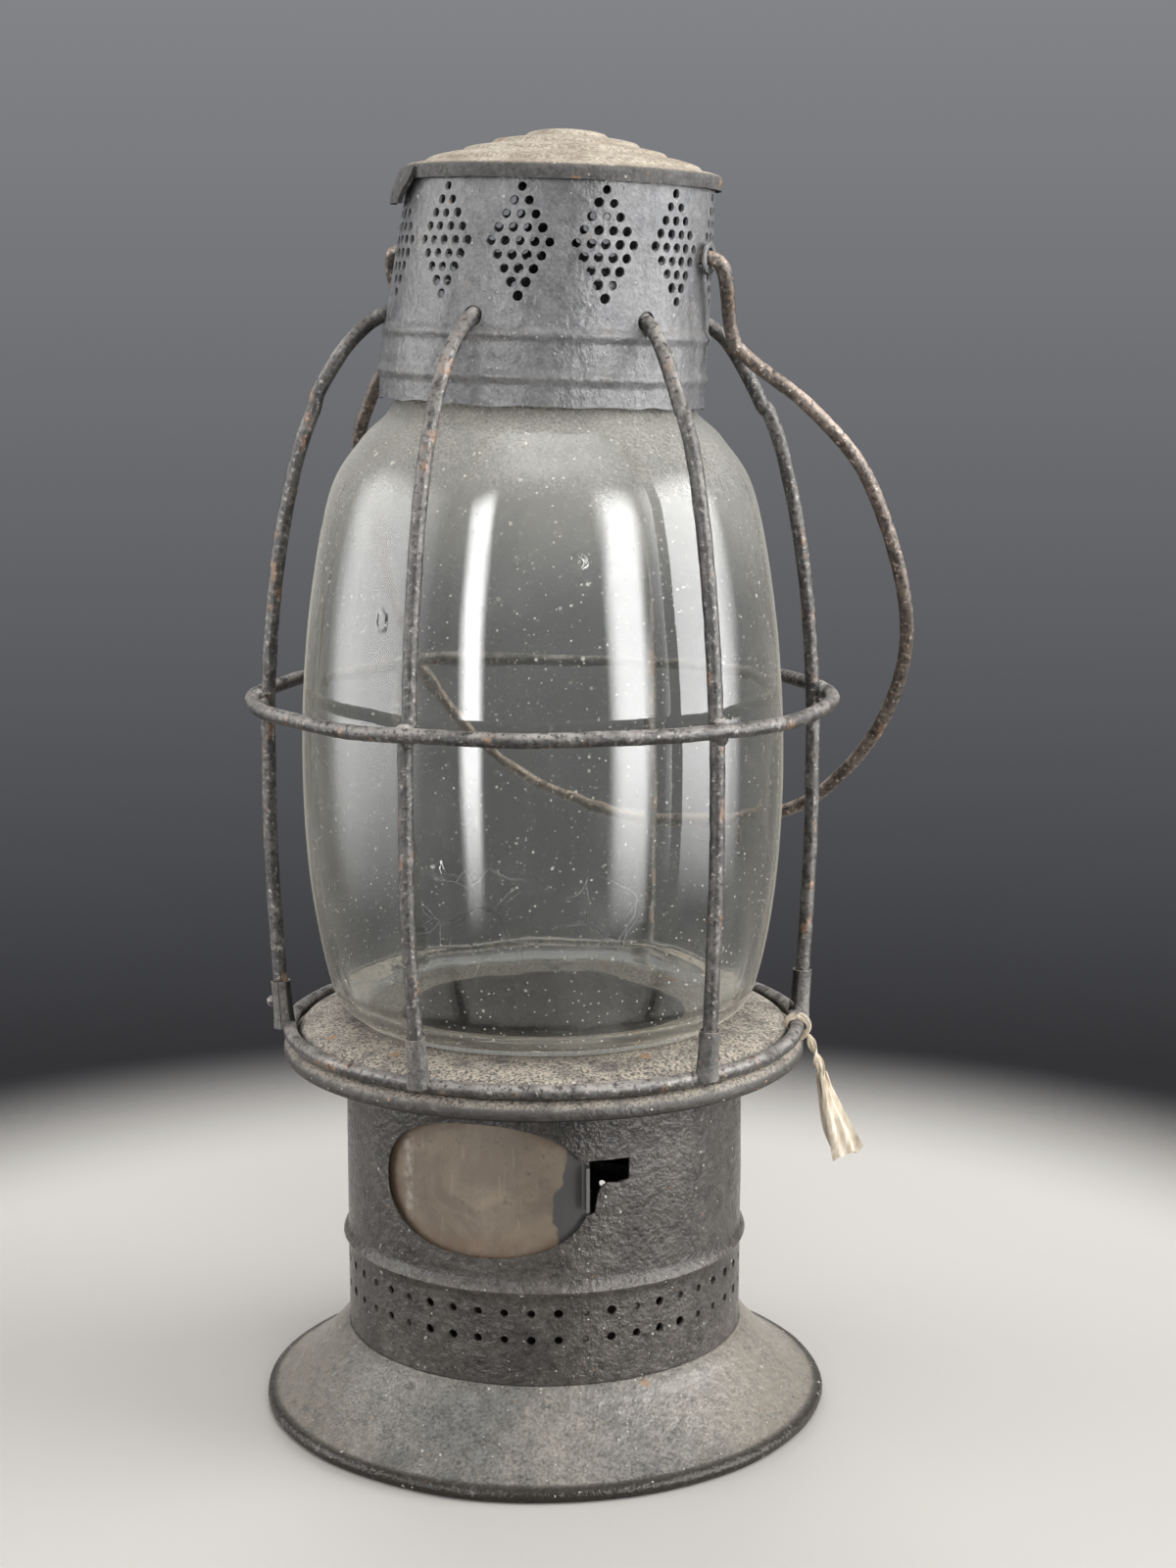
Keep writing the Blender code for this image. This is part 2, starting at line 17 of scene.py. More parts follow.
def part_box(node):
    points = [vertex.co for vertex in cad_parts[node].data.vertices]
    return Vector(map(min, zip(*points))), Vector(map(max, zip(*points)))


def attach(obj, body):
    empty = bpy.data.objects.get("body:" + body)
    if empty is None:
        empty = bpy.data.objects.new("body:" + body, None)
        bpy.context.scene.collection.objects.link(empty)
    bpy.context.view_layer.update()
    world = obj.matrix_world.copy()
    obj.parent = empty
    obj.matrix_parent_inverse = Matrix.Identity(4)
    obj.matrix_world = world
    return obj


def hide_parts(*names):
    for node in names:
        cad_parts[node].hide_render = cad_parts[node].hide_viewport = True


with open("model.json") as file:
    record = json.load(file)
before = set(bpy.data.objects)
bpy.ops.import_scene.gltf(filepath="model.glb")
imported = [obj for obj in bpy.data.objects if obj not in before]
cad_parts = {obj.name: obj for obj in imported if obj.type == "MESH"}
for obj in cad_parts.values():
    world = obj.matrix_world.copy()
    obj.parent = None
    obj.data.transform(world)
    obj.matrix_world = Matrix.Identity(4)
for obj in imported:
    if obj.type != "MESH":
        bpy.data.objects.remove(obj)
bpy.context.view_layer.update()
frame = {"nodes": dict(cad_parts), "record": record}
scene = bpy.context.scene
scene.view_settings.view_transform = "Standard"
MM = 0.001

# %% [markdown]
# ## Camera
# The picture to match was taken from a little above the globe with a long lens. The pitch and the
# distance were found by fitting the lantern's own circles, which show as ellipses. Setting the focal
# length from the picture's height keeps the frame the same at any render size.

# %% Camera
PICTURE_HEIGHT = 1600
FOCAL_LENGTH = 2692   # in pixels of that height
CAMERA_PITCH = 9.99   # degrees below level
camera_data = bpy.data.cameras.new("camera")
camera_data.sensor_fit = "VERTICAL"
camera_data.sensor_height = 36.0
camera_data.lens = camera_data.sensor_height * FOCAL_LENGTH / PICTURE_HEIGHT
camera = bpy.data.objects.new("camera", camera_data)
camera.location = (0.01185, -0.689, 0.2896)
camera.rotation_euler = (radians(90 - CAMERA_PITCH), 0, 0)
scene.collection.objects.link(camera)
scene.camera = camera
print("camera lens", round(camera_data.lens, 2), "mm")

# %% [markdown]
# ## Bearings
# Almost everything on the lantern is turned round one upright axis, so a place on it is easiest to say
# as a bearing, a radius and a height. Bearing 0 is the front, where the door is, and 90 is the right. Two
# more helpers give even steps along a line and round a circle, for outlines and cutters.

# %% Places by bearing
def outward(bearing):
    turn = radians(bearing)
    return Vector((sin(turn), -cos(turn), 0))


def point_at(bearing, radius, height):
    return outward(bearing) * radius + Vector((0, 0, height))


def bearing_of(p):
    return degrees(atan2(p.x, -p.y))


def evenly(start, end, count):
    """Values from start to end in this many equal steps."""
    return [start + (end - start) * k / count for k in range(count + 1)]


def circle(count):
    """Cosine and sine at equal steps once round."""
    return [(cos(2 * pi * k / count), sin(2 * pi * k / count)) for k in range(count)]


print("front", tuple(round(v, 1) for v in point_at(0, 50, 70)))

# %% [markdown]
# ## Light and floor
# Old glass is only as good as what it mirrors. Two tall, narrow soft boxes in front give the globe its
# two long upright glints, one wide and one thin, and a broad, dimmer one at each side lays a pale veil on
# its flanks. They only serve mirrors: bright enough for a glint, they would flood matt paint. The fill
# lamps do the opposite: they light matt surfaces from all sides to a plain level and show in no mirror.
# A plain area lamp would mirror as a hard white panel, so each box fades towards its edges, and none of
# them is seen through the glass.

# %% Soft boxes
LIGHT_AIM = Vector((0, 0, 0.17))


def put(tree, kind, sockets=None, **settings):
    """Adds a node, sets its properties, then links or sets its input sockets; a colour needs no alpha."""
    node = tree.nodes.new(kind)
    for key, value in settings.items():
        setattr(node, key, value)
    for key, value in (sockets or {}).items():
        socket = node.inputs[key]
        if isinstance(value, bpy.types.NodeSocket):
            tree.links.new(value, socket)
        elif socket.type == "RGBA":
            socket.default_value = (*value, 1.0)
        else:
            socket.default_value = value
    return node


def add(tree, kind, sockets=None, **settings):
    """Adds a node in the same way, and returns its first output."""
    return put(tree, kind, sockets, **settings).outputs[0]


def calc(tree, operation, first, second=0.0):
    return add(tree, "ShaderNodeMath", {0: first, 1: second}, operation=operation)


def scaled(tree, value, share):
    return calc(tree, "MULTIPLY", value, share)


def blend(tree, share, under, over, amount=1.0):
    """Lays one colour over another, as thick as share times amount."""
    sockets = {0: scaled(tree, share, amount), 6: under, 7: over}
    return put(tree, "ShaderNodeMix", sockets, data_type="RGBA").outputs[2]


def between(tree, value, low, high):
    """0 at low, 1 at high, smooth in between; low may be the larger."""
    sockets = {"Value": value, "From Min": low, "From Max": high}
    return put(tree, "ShaderNodeMapRange", sockets, interpolation_type="SMOOTHSTEP").outputs["Result"]


def spread(tree, value, low, high, span=(0.0, 1.0)):
    """Runs from low to high while the value runs over its span."""
    sockets = {"Value": value, "From Min": span[0], "From Max": span[1], "To Min": low, "To Max": high}
    return put(tree, "ShaderNodeMapRange", sockets).outputs["Result"]


def soft_box(name, bearing, distance, height, size, power, edge):
    """Area lamp aimed at the lantern; edge is the share of its half size that fades. Returns its object."""
    lamp = bpy.data.lights.new(name, "AREA")
    lamp.shape = "RECTANGLE"
    lamp.size, lamp.size_y = size
    lamp.energy = power
    lamp.use_nodes = True
    tree = lamp.node_tree
    across = put(tree, "ShaderNodeNewGeometry").outputs["Parametric"]
    across = put(tree, "ShaderNodeSeparateXYZ", {0: across}).outputs
    fade = 1.0
    for axis in "XY":
        away = calc(tree, "ABSOLUTE", calc(tree, "SUBTRACT", across[axis], 0.5))
        fade = scaled(tree, fade, between(tree, away, 0.5, 0.5 - 0.5 * edge))
    tree.links.new(fade, tree.nodes["Emission"].inputs["Strength"])
    holder = bpy.data.objects.new(name, lamp)
    holder.location = point_at(bearing, distance, height)
    holder.rotation_euler = (LIGHT_AIM - holder.location).to_track_quat("-Z", "Y").to_euler()
    holder.visible_transmission = False
    scene.collection.objects.link(holder)
    return holder


glints = [soft_box("wide_strip", 42, 1.5, 0.45, (0.74, 2.4), 108, 0.75),
          soft_box("thin_strip", -31, 1.5, 0.45, (0.38, 2.4), 70, 0.8),
          soft_box("left_veil", -88, 1.5, 0.5, (2.2, 2.1), 92, 0.7),
          soft_box("right_veil", 82, 1.5, 0.5, (1.6, 2.1), 118, 0.6)]
for glint in glints:
    glint.visible_diffuse = False
fills = [soft_box("front_fill", 14, 1.6, 0.85, (1.4, 1.4), 26, 0.6),
         soft_box("right_fill", 85, 1.6, 0.7, (1.6, 1.6), 59, 0.6),
         soft_box("left_fill", -90, 1.6, 0.7, (1.6, 1.6), 23, 0.6),
         soft_box("back_fill", 188, 1.6, 0.85, (1.4, 1.4), 32, 0.6)]
for fill in fills:
    fill.visible_glossy = False
soft_box("overhead", 20, 0.3, 1.9, (2.2, 2.2), 48, 0.9)
print("lamps:", [lamp.name for lamp in bpy.data.lights])

# %% [markdown]
# The world is a plain grey that darkens downwards, so the globe's clear lower part stands out. Camera,
# mirror and glass rays see that backdrop, and all other rays see the fill light, mostly from above.

# %% World
BACKDROP_LOW = (0.034, 0.034, 0.038)
BACKDROP_HIGH = (0.225, 0.232, 0.248)
FILL_LOW = (0.050, 0.048, 0.045)
FILL_HIGH = (0.230, 0.230, 0.235)
world = bpy.data.worlds.new("studio")
world.use_nodes = True
scene.world = world
tree = world.node_tree
rays = put(tree, "ShaderNodeLightPath").outputs
seen = calc(tree, "ADD", rays["Is Camera Ray"], rays["Is Glossy Ray"])
seen = calc(tree, "ADD", seen, rays["Is Transmission Ray"])
seen = calc(tree, "MINIMUM", seen, 1.0)
ray = put(tree, "ShaderNodeTexCoord").outputs["Generated"]
rise = put(tree, "ShaderNodeSeparateXYZ", {0: ray}).outputs["Z"]
wall = spread(tree, rise, 0.0, 1.0, (-0.27, 0.12))
above = spread(tree, rise, 0.0, 1.0, (-0.4, 0.8))
backdrop = blend(tree, wall, BACKDROP_LOW, BACKDROP_HIGH)
fill = blend(tree, above, FILL_LOW, FILL_HIGH)
tree.links.new(blend(tree, seen, fill, backdrop), tree.nodes["Background"].inputs["Color"])
print("backdrop from", BACKDROP_LOW, "to", BACKDROP_HIGH)

# %% [markdown]
# The floor is a pale disc that fades away a little behind the lantern, so there is no hard horizon, and
# nothing pale shows through the glass from any side.

# %% Floor
PALE_FLOOR = (0.56, 0.54, 0.51, 1)
FLOOR_RADIUS = 0.6
FLOOR_SIDES = 96
FADE = (0.22, 0.37)   # from whole to clear, as distances from the middle


def new_object(name, points=(), edges=(), faces=()):
    """Object in the scene with a mesh of these points, in metres."""
    mesh = bpy.data.meshes.new(name)
    mesh.from_pydata(points, edges, faces)
    made = bpy.data.objects.new(name, mesh)
    scene.collection.objects.link(made)
    return made


rim = [point_at(360 * k / FLOOR_SIDES, FLOOR_RADIUS, 0) for k in range(FLOOR_SIDES)]
floor = new_object("floor", rim, [], [range(FLOOR_SIDES)])
floor_paint = bpy.data.materials.new("pale_floor")
floor_paint.use_nodes = True
floor.data.materials.append(floor_paint)
tree = floor_paint.node_tree
shader = tree.nodes["Principled BSDF"]
shader.inputs["Base Color"].default_value = PALE_FLOOR
shader.inputs["Roughness"].default_value = 0.85
shader.inputs["Specular IOR Level"].default_value = 0.0
place = put(tree, "ShaderNodeTexCoord").outputs["Object"]
reach = put(tree, "ShaderNodeVectorMath", {0: place}, operation="LENGTH").outputs["Value"]
gone = between(tree, reach, *FADE)
clear = add(tree, "ShaderNodeBsdfTransparent")
faded = add(tree, "ShaderNodeMixShader", {0: gone, 1: shader.outputs[0], 2: clear})
tree.links.new(faded, tree.nodes["Material Output"].inputs["Surface"])
print("floor radius", FLOOR_RADIUS, "m")

# %% [markdown]
# ## Tools for weathered finishes
# Every finish here is old: paint gone patchy, dust, rust and pale specks. Each of those is one simple
# pattern in object space, so that it keeps its size in millimetres on every piece: a noise for clouds, a
# noise pushed through a threshold for patches, and Voronoi cells for separate dots.

# %% Pattern tools
def object_place(tree, stretch=None):
    place = put(tree, "ShaderNodeTexCoord").outputs["Object"]
    if stretch:
        place = put(tree, "ShaderNodeMapping", {"Vector": place, "Scale": stretch}).outputs["Vector"]
    return place


def clouds(tree, size, detail=4.0, stretch=None, swirl=0.0):
    """Noise from 0 to 1 with features of about this size in millimetres."""
    sockets = {"Vector": object_place(tree, stretch), "Scale": 1000 / size, "Detail": detail,
               "Roughness": 0.6, "Distortion": swirl}
    return put(tree, "ShaderNodeTexNoise", sockets).outputs["Fac"]


def patchy(tree, size, detail, low, high, **how):
    """Clouds through a threshold: 0 where they are below low, 1 where they are above high."""
    return between(tree, clouds(tree, size, detail, **how), low, high)


def dots(tree, spacing, size, share, stretch=None):
    """Ragged dots, one in this share of cells of this spacing; size is a part of the spacing."""
    place = object_place(tree, stretch)
    sockets = {"Vector": place, "Scale": 1000 / spacing}
    cells = put(tree, "ShaderNodeTexVoronoi", sockets).outputs
    ragged = scaled(tree, clouds(tree, spacing * 0.4, 2), 0.3)
    edge = calc(tree, "ADD", cells["Distance"], ragged)
    lucky = put(tree, "ShaderNodeSeparateColor", {0: cells["Color"]}).outputs["Red"]
    chosen = between(tree, lucky, 1 - share, 1.02 - share)
    return scaled(tree, between(tree, edge, size + 0.18, size + 0.10), chosen)


def facing_up(tree, low, high):
    normal = put(tree, "ShaderNodeTexCoord").outputs["Normal"]
    up = put(tree, "ShaderNodeSeparateXYZ", {0: normal}).outputs["Z"]
    return between(tree, up, low, high)


def marked(tree, name):
    """A share painted on the piece's own points, from 0 to 1."""
    return put(tree, "ShaderNodeAttribute", attribute_name=name).outputs["Fac"]


def ragged_mark(tree, name, size, detail, low, high):
    """Such a share, broken up by patches."""
    return scaled(tree, marked(tree, name), patchy(tree, size, detail, low, high))


def new_finish(name, metal=0.0, gloss=0.5):
    finish = bpy.data.materials.new(name)
    finish.use_nodes = True
    shader = finish.node_tree.nodes["Principled BSDF"]
    shader.inputs["Metallic"].default_value = metal
    shader.inputs["Specular IOR Level"].default_value = gloss
    return finish, finish.node_tree, shader


def complete(tree, shader, colour, rough, height, depth):
    """Joins colour, roughness and a relief of this depth in millimetres to the shader."""
    tree.links.new(colour, shader.inputs["Base Color"])
    tree.links.new(rough, shader.inputs["Roughness"])
    bump = put(tree, "ShaderNodeBump", {"Height": height, "Strength": 1.0, "Distance": depth * MM})
    tree.links.new(bump.outputs["Normal"], shader.inputs["Normal"])


def vector(tree, operation, first, second=(0, 0, 0)):
    return add(tree, "ShaderNodeVectorMath", {0: first, 1: second}, operation=operation)


def stretched(tree, first, factor):
    """A vector made longer or shorter by a factor."""
    return add(tree, "ShaderNodeVectorMath", {0: first, "Scale": factor}, operation="SCALE")


def facing_axis(tree):
    """1 on the inner side of anything turned round the upright axis, 0 on its outer side."""
    coordinates = put(tree, "ShaderNodeTexCoord").outputs
    out = vector(tree, "NORMALIZE", vector(tree, "MULTIPLY", coordinates["Object"], (1, 1, 0)))
    agree = put(tree, "ShaderNodeVectorMath", {0: coordinates["Normal"], 1: out},
                operation="DOT_PRODUCT").outputs["Value"]
    return between(tree, agree, -0.25, -0.6)


print("pattern tools ready")

# %% [markdown]
# ## Painted tin
# Hood, drum, plate, skirt and cap were all dipped in the same dark paint, and a century of heat and
# handling changed each of them differently. One recipe makes the shared layers, from the paint up: worn
# patches, grain, upright streaks, pits, settled dust, paler rubbed crests that are also a painted highlight,
# rust and pale specks. Its amounts make the five finishes. Whatever faces the flame on the inner side of
# the wall is black with soot, and all that faces down gets the same black: soot over the flame, painted
# shade elsewhere.

# %% Weathered paint
# Soot on the inner side, and the same near-black as painted shade on outer faces that look down.
SOOT_AND_SHADE = (0.012, 0.011, 0.011)


def weathered_paint(name, paint, worn, dusty, rusty, extra=None, *, mottle, streaks, pits, dust, top_dust,
                    rust, specks, rough, relief):
    """Layers of an old paint: four colours, maybe an extra layer, and how much there is of each."""
    finish, tree, shader = new_finish(name, gloss=0.20)
    broad = clouds(tree, 34, 5, swirl=0.4)
    colour = blend(tree, between(tree, broad, 0.22, 0.78), paint, worn)
    coarse = scaled(tree, clouds(tree, 3.2, 5), 0.68)
    grain = calc(tree, "ADD", coarse, scaled(tree, clouds(tree, 0.8, 3), 0.32))
    tone = spread(tree, grain, 1 - mottle, 1 + mottle, (0.33, 0.67))
    colour = vector(tree, "MULTIPLY", colour, tone)
    streak = patchy(tree, 11, 4, 0.54, 0.72, stretch=(1, 1, 0.16))
    pitted = dots(tree, 1.3, 0.12, pits)
    dark = calc(tree, "MAXIMUM", scaled(tree, streak, streaks), scaled(tree, pitted, 0.75))
    colour = blend(tree, dark, colour, [part * 0.35 for part in paint])
    settled = scaled(tree, patchy(tree, 16, 7, *dust, swirl=0.8), 0.6)
    if top_dust:
        top = scaled(tree, facing_up(tree, 0.30, 0.95), top_dust)
        settled = calc(tree, "MAXIMUM", settled, scaled(tree, top, patchy(tree, 7, 7, 0.22, 0.58)))
    settled = scaled(tree, settled, patchy(tree, 0.8, 4, 0.36, 0.60))
    colour = blend(tree, settled, colour, dusty, 0.85)
    # Marked crests and edges turn paler: rubbed wear and a painted highlight.
    rubbed_and_highlit = ragged_mark(tree, "rubbed_and_highlit", 2.5, 6, 0.30, 0.62)
    colour = blend(tree, rubbed_and_highlit, colour, [0.55 * part for part in dusty], 0.7)
    if extra:
        colour = extra(tree, colour)
    red = calc(tree, "MAXIMUM", dots(tree, 9, 0.16, rust), dots(tree, 2.2, 0.17, rust))
    colour = blend(tree, red, colour, rusty, 0.75)
    speck = calc(tree, "MAXIMUM", dots(tree, 2.0, 0.14, specks), dots(tree, 4.2, 0.10, specks))
    colour = blend(tree, speck, colour, [0.34 + 0.6 * part for part in dusty], 0.85)
    # Near-black on the inner side, which is soot, and on all that faces down: soot over the flame, painted
    # shade elsewhere.
    under = calc(tree, "MAXIMUM", facing_axis(tree), facing_up(tree, -0.5, -0.85))
    colour = blend(tree, under, colour, SOOT_AND_SHADE, 0.93)
    height = calc(tree, "ADD", scaled(tree, speck, 0.3), clouds(tree, 1.9, 3))
    height = calc(tree, "ADD", height, scaled(tree, broad, 1.2))
    height = calc(tree, "SUBTRACT", height, scaled(tree, pitted, 0.4))
    complete(tree, shader, colour, spread(tree, clouds(tree, 8, 5), *rough, (0.3, 0.7)), height, relief)
    return finish


def dark_rim_and_shade(tree, colour):
    """Nearly black where a piece marks its rim: painted shade in the plate's groove and on its lip's lower
    half, and low on the outside of the skirt's roll.
    """
    return blend(tree, ragged_mark(tree, "rim", 4, 5, 0.22, 0.42), colour, (0.032, 0.027, 0.022))


hood_paint = weathered_paint(
    "worn_hood_paint", (0.180, 0.182, 0.190), (0.282, 0.281, 0.280), (0.50, 0.465, 0.41), (0.34, 0.19, 0.105),
    mottle=0.34, streaks=0.60, pits=0.30, dust=(0.56, 0.80), top_dust=0.5, rust=0.04, specks=0.28,
    rough=(0.20, 0.36), relief=0.42)
drum_paint = weathered_paint(
    "speckled_drum_paint", (0.046, 0.042, 0.039), (0.104, 0.094, 0.085), (0.4, 0.35, 0.29), (0.32, 0.18, 0.1),
    mottle=0.55, streaks=0.30, pits=0.24, dust=(0.66, 0.90), top_dust=0.2, rust=0.05, specks=0.22,
    rough=(0.19, 0.34), relief=0.66)
plate_paint = weathered_paint(
    "gritty_plate_paint", (0.094, 0.09, 0.085), (0.188, 0.177, 0.163), (0.74, 0.65, 0.53), (0.46, 0.26, 0.13),
    dark_rim_and_shade, mottle=0.50, streaks=0.0, pits=0.24, dust=(0.56, 0.82), top_dust=0.92, rust=0.13, specks=0.28,
    rough=(0.40, 0.66), relief=0.55)
print("painted tin:", hood_paint.name, drum_paint.name, plate_paint.name)

# %% [markdown]
# The skirt's edge is rolled round a wire, and its paint is nearly black low on the outside of the roll,
# with rust. The plate has the same near-black as painted shade in its groove and on its lip's lower half.
# The cap is the other extreme: tan dust has baked on all that faces up, and only its upright rim still
# shows dark paint. Skirt and cap each get one layer more than the recipe has, and the plate shares the
# skirt's.

# %% Skirt and cap paint
def baked_dust(tree, colour):
    pale_dust = (0.660, 0.590, 0.484)
    baked = blend(tree, patchy(tree, 12, 6, 0.36, 0.64), (0.450, 0.388, 0.304), pale_dust)
    baked = blend(tree, patchy(tree, 0.9, 3, 0.42, 0.58), baked, (0.230, 0.184, 0.136), 0.6)
    return blend(tree, ragged_mark(tree, "dust", 3, 7, 0.20, 0.40), colour, baked)


skirt_paint = weathered_paint(
    "dusty_skirt_paint", (0.124, 0.126, 0.126), (0.244, 0.229, 0.201), (0.54, 0.475, 0.38), (0.4, 0.23, 0.12),
    dark_rim_and_shade, mottle=0.40, streaks=0.35, pits=0.26, dust=(0.50, 0.80), top_dust=0.25, rust=0.05, specks=0.26,
    rough=(0.20, 0.38), relief=0.62)
cap_paint = weathered_paint(
    "dusty_cap_paint", (0.070, 0.068, 0.066), (0.140, 0.132, 0.125), (0.46, 0.40, 0.32), (0.36, 0.21, 0.115),
    baked_dust, mottle=0.50, streaks=0.0, pits=0.28, dust=(0.56, 0.82), top_dust=0.0, rust=0.14, specks=0.26,
    rough=(0.58, 0.85), relief=0.45)
print("painted tin:", skirt_paint.name, cap_paint.name)

# %% [markdown]
# ## Iron wire
# The cage wire is black with grey scraped patches where hands and hooks rubbed it, and rust in between.
# The bail never had paint: it is brown all over. Both are one recipe: broad patches, rust, and small flakes,
# some scraped bright and some fallen out black. What faces up is paler: dust and a painted highlight
# together.

# %% Wire finishes
def iron_wire(name, black, scraped, rust, rust_share):
    finish, tree, shader = new_finish(name, 0.12, gloss=0.35)
    patches = clouds(tree, 7, 6, swirl=0.5)
    colour = blend(tree, between(tree, patches, 0.38, 0.66), black, scraped)
    rusty = patchy(tree, 5, 7, 0.70 - rust_share, 0.78 - rust_share, stretch=(1, 1, 0.6))
    colour = blend(tree, rusty, colour, rust, 0.75)
    flakes = clouds(tree, 1.2, 5)
    # Whatever faces up turns pale: dust and scraping, with a painted highlight as well.
    top = scaled(tree, facing_up(tree, 0.10, 0.75), spread(tree, patches, 0.3, 1.0, (0.38, 0.6)))
    rubbed_and_highlit = calc(tree, "MAXIMUM", scaled(tree, between(tree, flakes, 0.57, 0.68), 0.75), top)
    colour = blend(tree, rubbed_and_highlit, colour, [part * 3.6 for part in scraped])
    colour = blend(tree, between(tree, flakes, 0.47, 0.38), colour, (0.016, 0.014, 0.013), 0.85)
    rough = spread(tree, clouds(tree, 3, 4), 0.28, 0.50, (0.3, 0.7))
    height = calc(tree, "ADD", flakes, scaled(tree, patches, 2.0))
    complete(tree, shader, colour, rough, height, 0.26)
    return finish


cage_wire = iron_wire("blackened_cage_wire", (0.040, 0.037, 0.034), (0.110, 0.102, 0.094),
                      (0.250, 0.142, 0.082), 0.12)
bail_rust = iron_wire("brown_bail_wire", (0.084, 0.065, 0.052), (0.190, 0.152, 0.126),
                      (0.270, 0.170, 0.106), 0.13)
solder_grey = iron_wire("dull_solder", (0.070, 0.066, 0.062), (0.140, 0.132, 0.122),
                        (0.240, 0.146, 0.090), 0.04)
print("wire:", cage_wire.name, bail_rust.name, solder_grey.name)

# %% [markdown]
# ## Bare tin and brass
# The sliding door has lost its paint: grey-brown tin plate with a fine stain, dark rust-brown round the
# edge of what the window shows, which is rust low down and painted shadow of the window's rim, one pale
# run, and a patch of black paint left at the pulling end. The marks follow the door, so they are shares
# stored on its points. The fount behind it is tin too, and the burner is brass, both dark with soot.

# %% Bare metals
def bare_metal(name, clean, stained, metal, extra=None):
    finish, tree, shader = new_finish(name, metal, gloss=0.35)
    stain = clouds(tree, 13, 7, swirl=0.6)
    colour = blend(tree, between(tree, stain, 0.34, 0.66), clean, stained)
    fine = clouds(tree, 1.6, 5)
    colour = blend(tree, between(tree, fine, 0.58, 0.75), colour, [part * 0.55 for part in stained])
    if extra:
        colour = extra(tree, colour)
    complete(tree, shader, colour, spread(tree, stain, 0.36, 0.58), fine, 0.04)
    return finish


def door_marks(tree, colour):
    scratched = patchy(tree, 1.2, 3, 0.60, 0.72, stretch=(1, 1, 0.12))
    colour = blend(tree, scratched, colour, (0.46, 0.40, 0.33), 0.16)
    # Rust-brown round the window's edge: rust low down, and painted shadow of the window's rim.
    colour = blend(tree, ragged_mark(tree, "edge", 3, 6, 0.30, 0.60), colour, (0.140, 0.085, 0.050), 0.8)
    colour = blend(tree, ragged_mark(tree, "run", 2.2, 6, 0.34, 0.66), colour, (0.52, 0.48, 0.43), 0.45)
    return blend(tree, marked(tree, "black"), colour, (0.050, 0.048, 0.047))


door_tin = bare_metal("stained_door_tin", (0.206, 0.162, 0.117), (0.128, 0.098, 0.070), 0.1, door_marks)
dull_tin = bare_metal("sooty_tin", (0.085, 0.077, 0.067), (0.036, 0.031, 0.026), 0.45)
old_brass = bare_metal("sooty_brass", (0.210, 0.144, 0.062), (0.064, 0.043, 0.024), 0.70)
print("bare metal:", door_tin.name, dull_tin.name, old_brass.name)

# %% [markdown]
# ## Glass, paper and cotton
# The globe is thick, faintly green, and dirty. A clean glass shader would look new, so a dust share takes
# some of the transmission away: a thin film everywhere, more of it on the shoulder where dust settles,
# fine specks and smears. Two webs of hair cracks low in front are dark lines. Dust also makes a pale veil
# where the glass is seen edge on, which is what sheen is for. Bubbles, and the upright lines that drawing
# the hot glass left, are only relief.

# %% Globe glass
def old_glass(name):
    finish, tree, shader = new_finish(name)
    shader.inputs["IOR"].default_value = 1.5
    place = put(tree, "ShaderNodeSeparateXYZ", {0: object_place(tree)}).outputs
    shoulder = between(tree, place["Z"], 0.214, 0.272)
    smear = patchy(tree, 30, 6, 0.45, 0.75, stretch=(1, 1, 0.45), swirl=0.7)
    film = spread(tree, smear, 0.022, 0.095)
    haze = scaled(tree, shoulder, spread(tree, clouds(tree, 12, 7), 0.14, 0.54))
    haze = scaled(tree, haze, spread(tree, patchy(tree, 0.7, 4, 0.36, 0.64), 0.55, 1.3))
    speck = calc(tree, "MAXIMUM", dots(tree, 2.2, 0.13, 0.75), dots(tree, 6.5, 0.07, 0.7))
    speck = scaled(tree, speck, spread(tree, clouds(tree, 18, 4), 0.25, 0.95, (0.35, 0.65)))
    dust = calc(tree, "MINIMUM", calc(tree, "ADD", calc(tree, "ADD", film, haze), speck), 0.9)
    colour = blend(tree, dust, (0.965, 0.970, 0.930), (0.60, 0.545, 0.445))
    colour = blend(tree, speck, colour, (0.84, 0.81, 0.74), 0.8)
    bent = put(tree, "ShaderNodeTexNoise",
               {"Vector": object_place(tree), "Scale": 60.0, "Detail": 2.0}).outputs["Color"]
    bent = vector(tree, "ADD", object_place(tree), stretched(tree, bent, 0.010))
    web = add(tree, "ShaderNodeTexVoronoi", {"Vector": bent, "Scale": 85.0}, feature="DISTANCE_TO_EDGE")
    web = scaled(tree, between(tree, web, 0.016, 0.005), marked(tree, "cracks"))
    colour = blend(tree, web, colour, (0.05, 0.05, 0.05))
    clear = calc(tree, "SUBTRACT", 1.0, calc(tree, "MAXIMUM", dust, scaled(tree, web, 0.8)))
    tree.links.new(clear, shader.inputs["Transmission Weight"])
    shader.inputs["Sheen Weight"].default_value = 0.60
    shader.inputs["Sheen Roughness"].default_value = 0.35
    shader.inputs["Sheen Tint"].default_value = (0.98, 0.93, 0.79, 1.0)
    seeds = dots(tree, 17, 0.08, 0.5, stretch=(1, 1, 0.55))
    drawn = clouds(tree, 9, 1, stretch=(1, 1, 0.06))
    relief = calc(tree, "ADD", seeds, scaled(tree, drawn, 0.45))
    complete(tree, shader, colour, spread(tree, haze, 0.03, 0.22), relief, 0.35)
    return finish


globe_glass = old_glass("old_globe_glass")


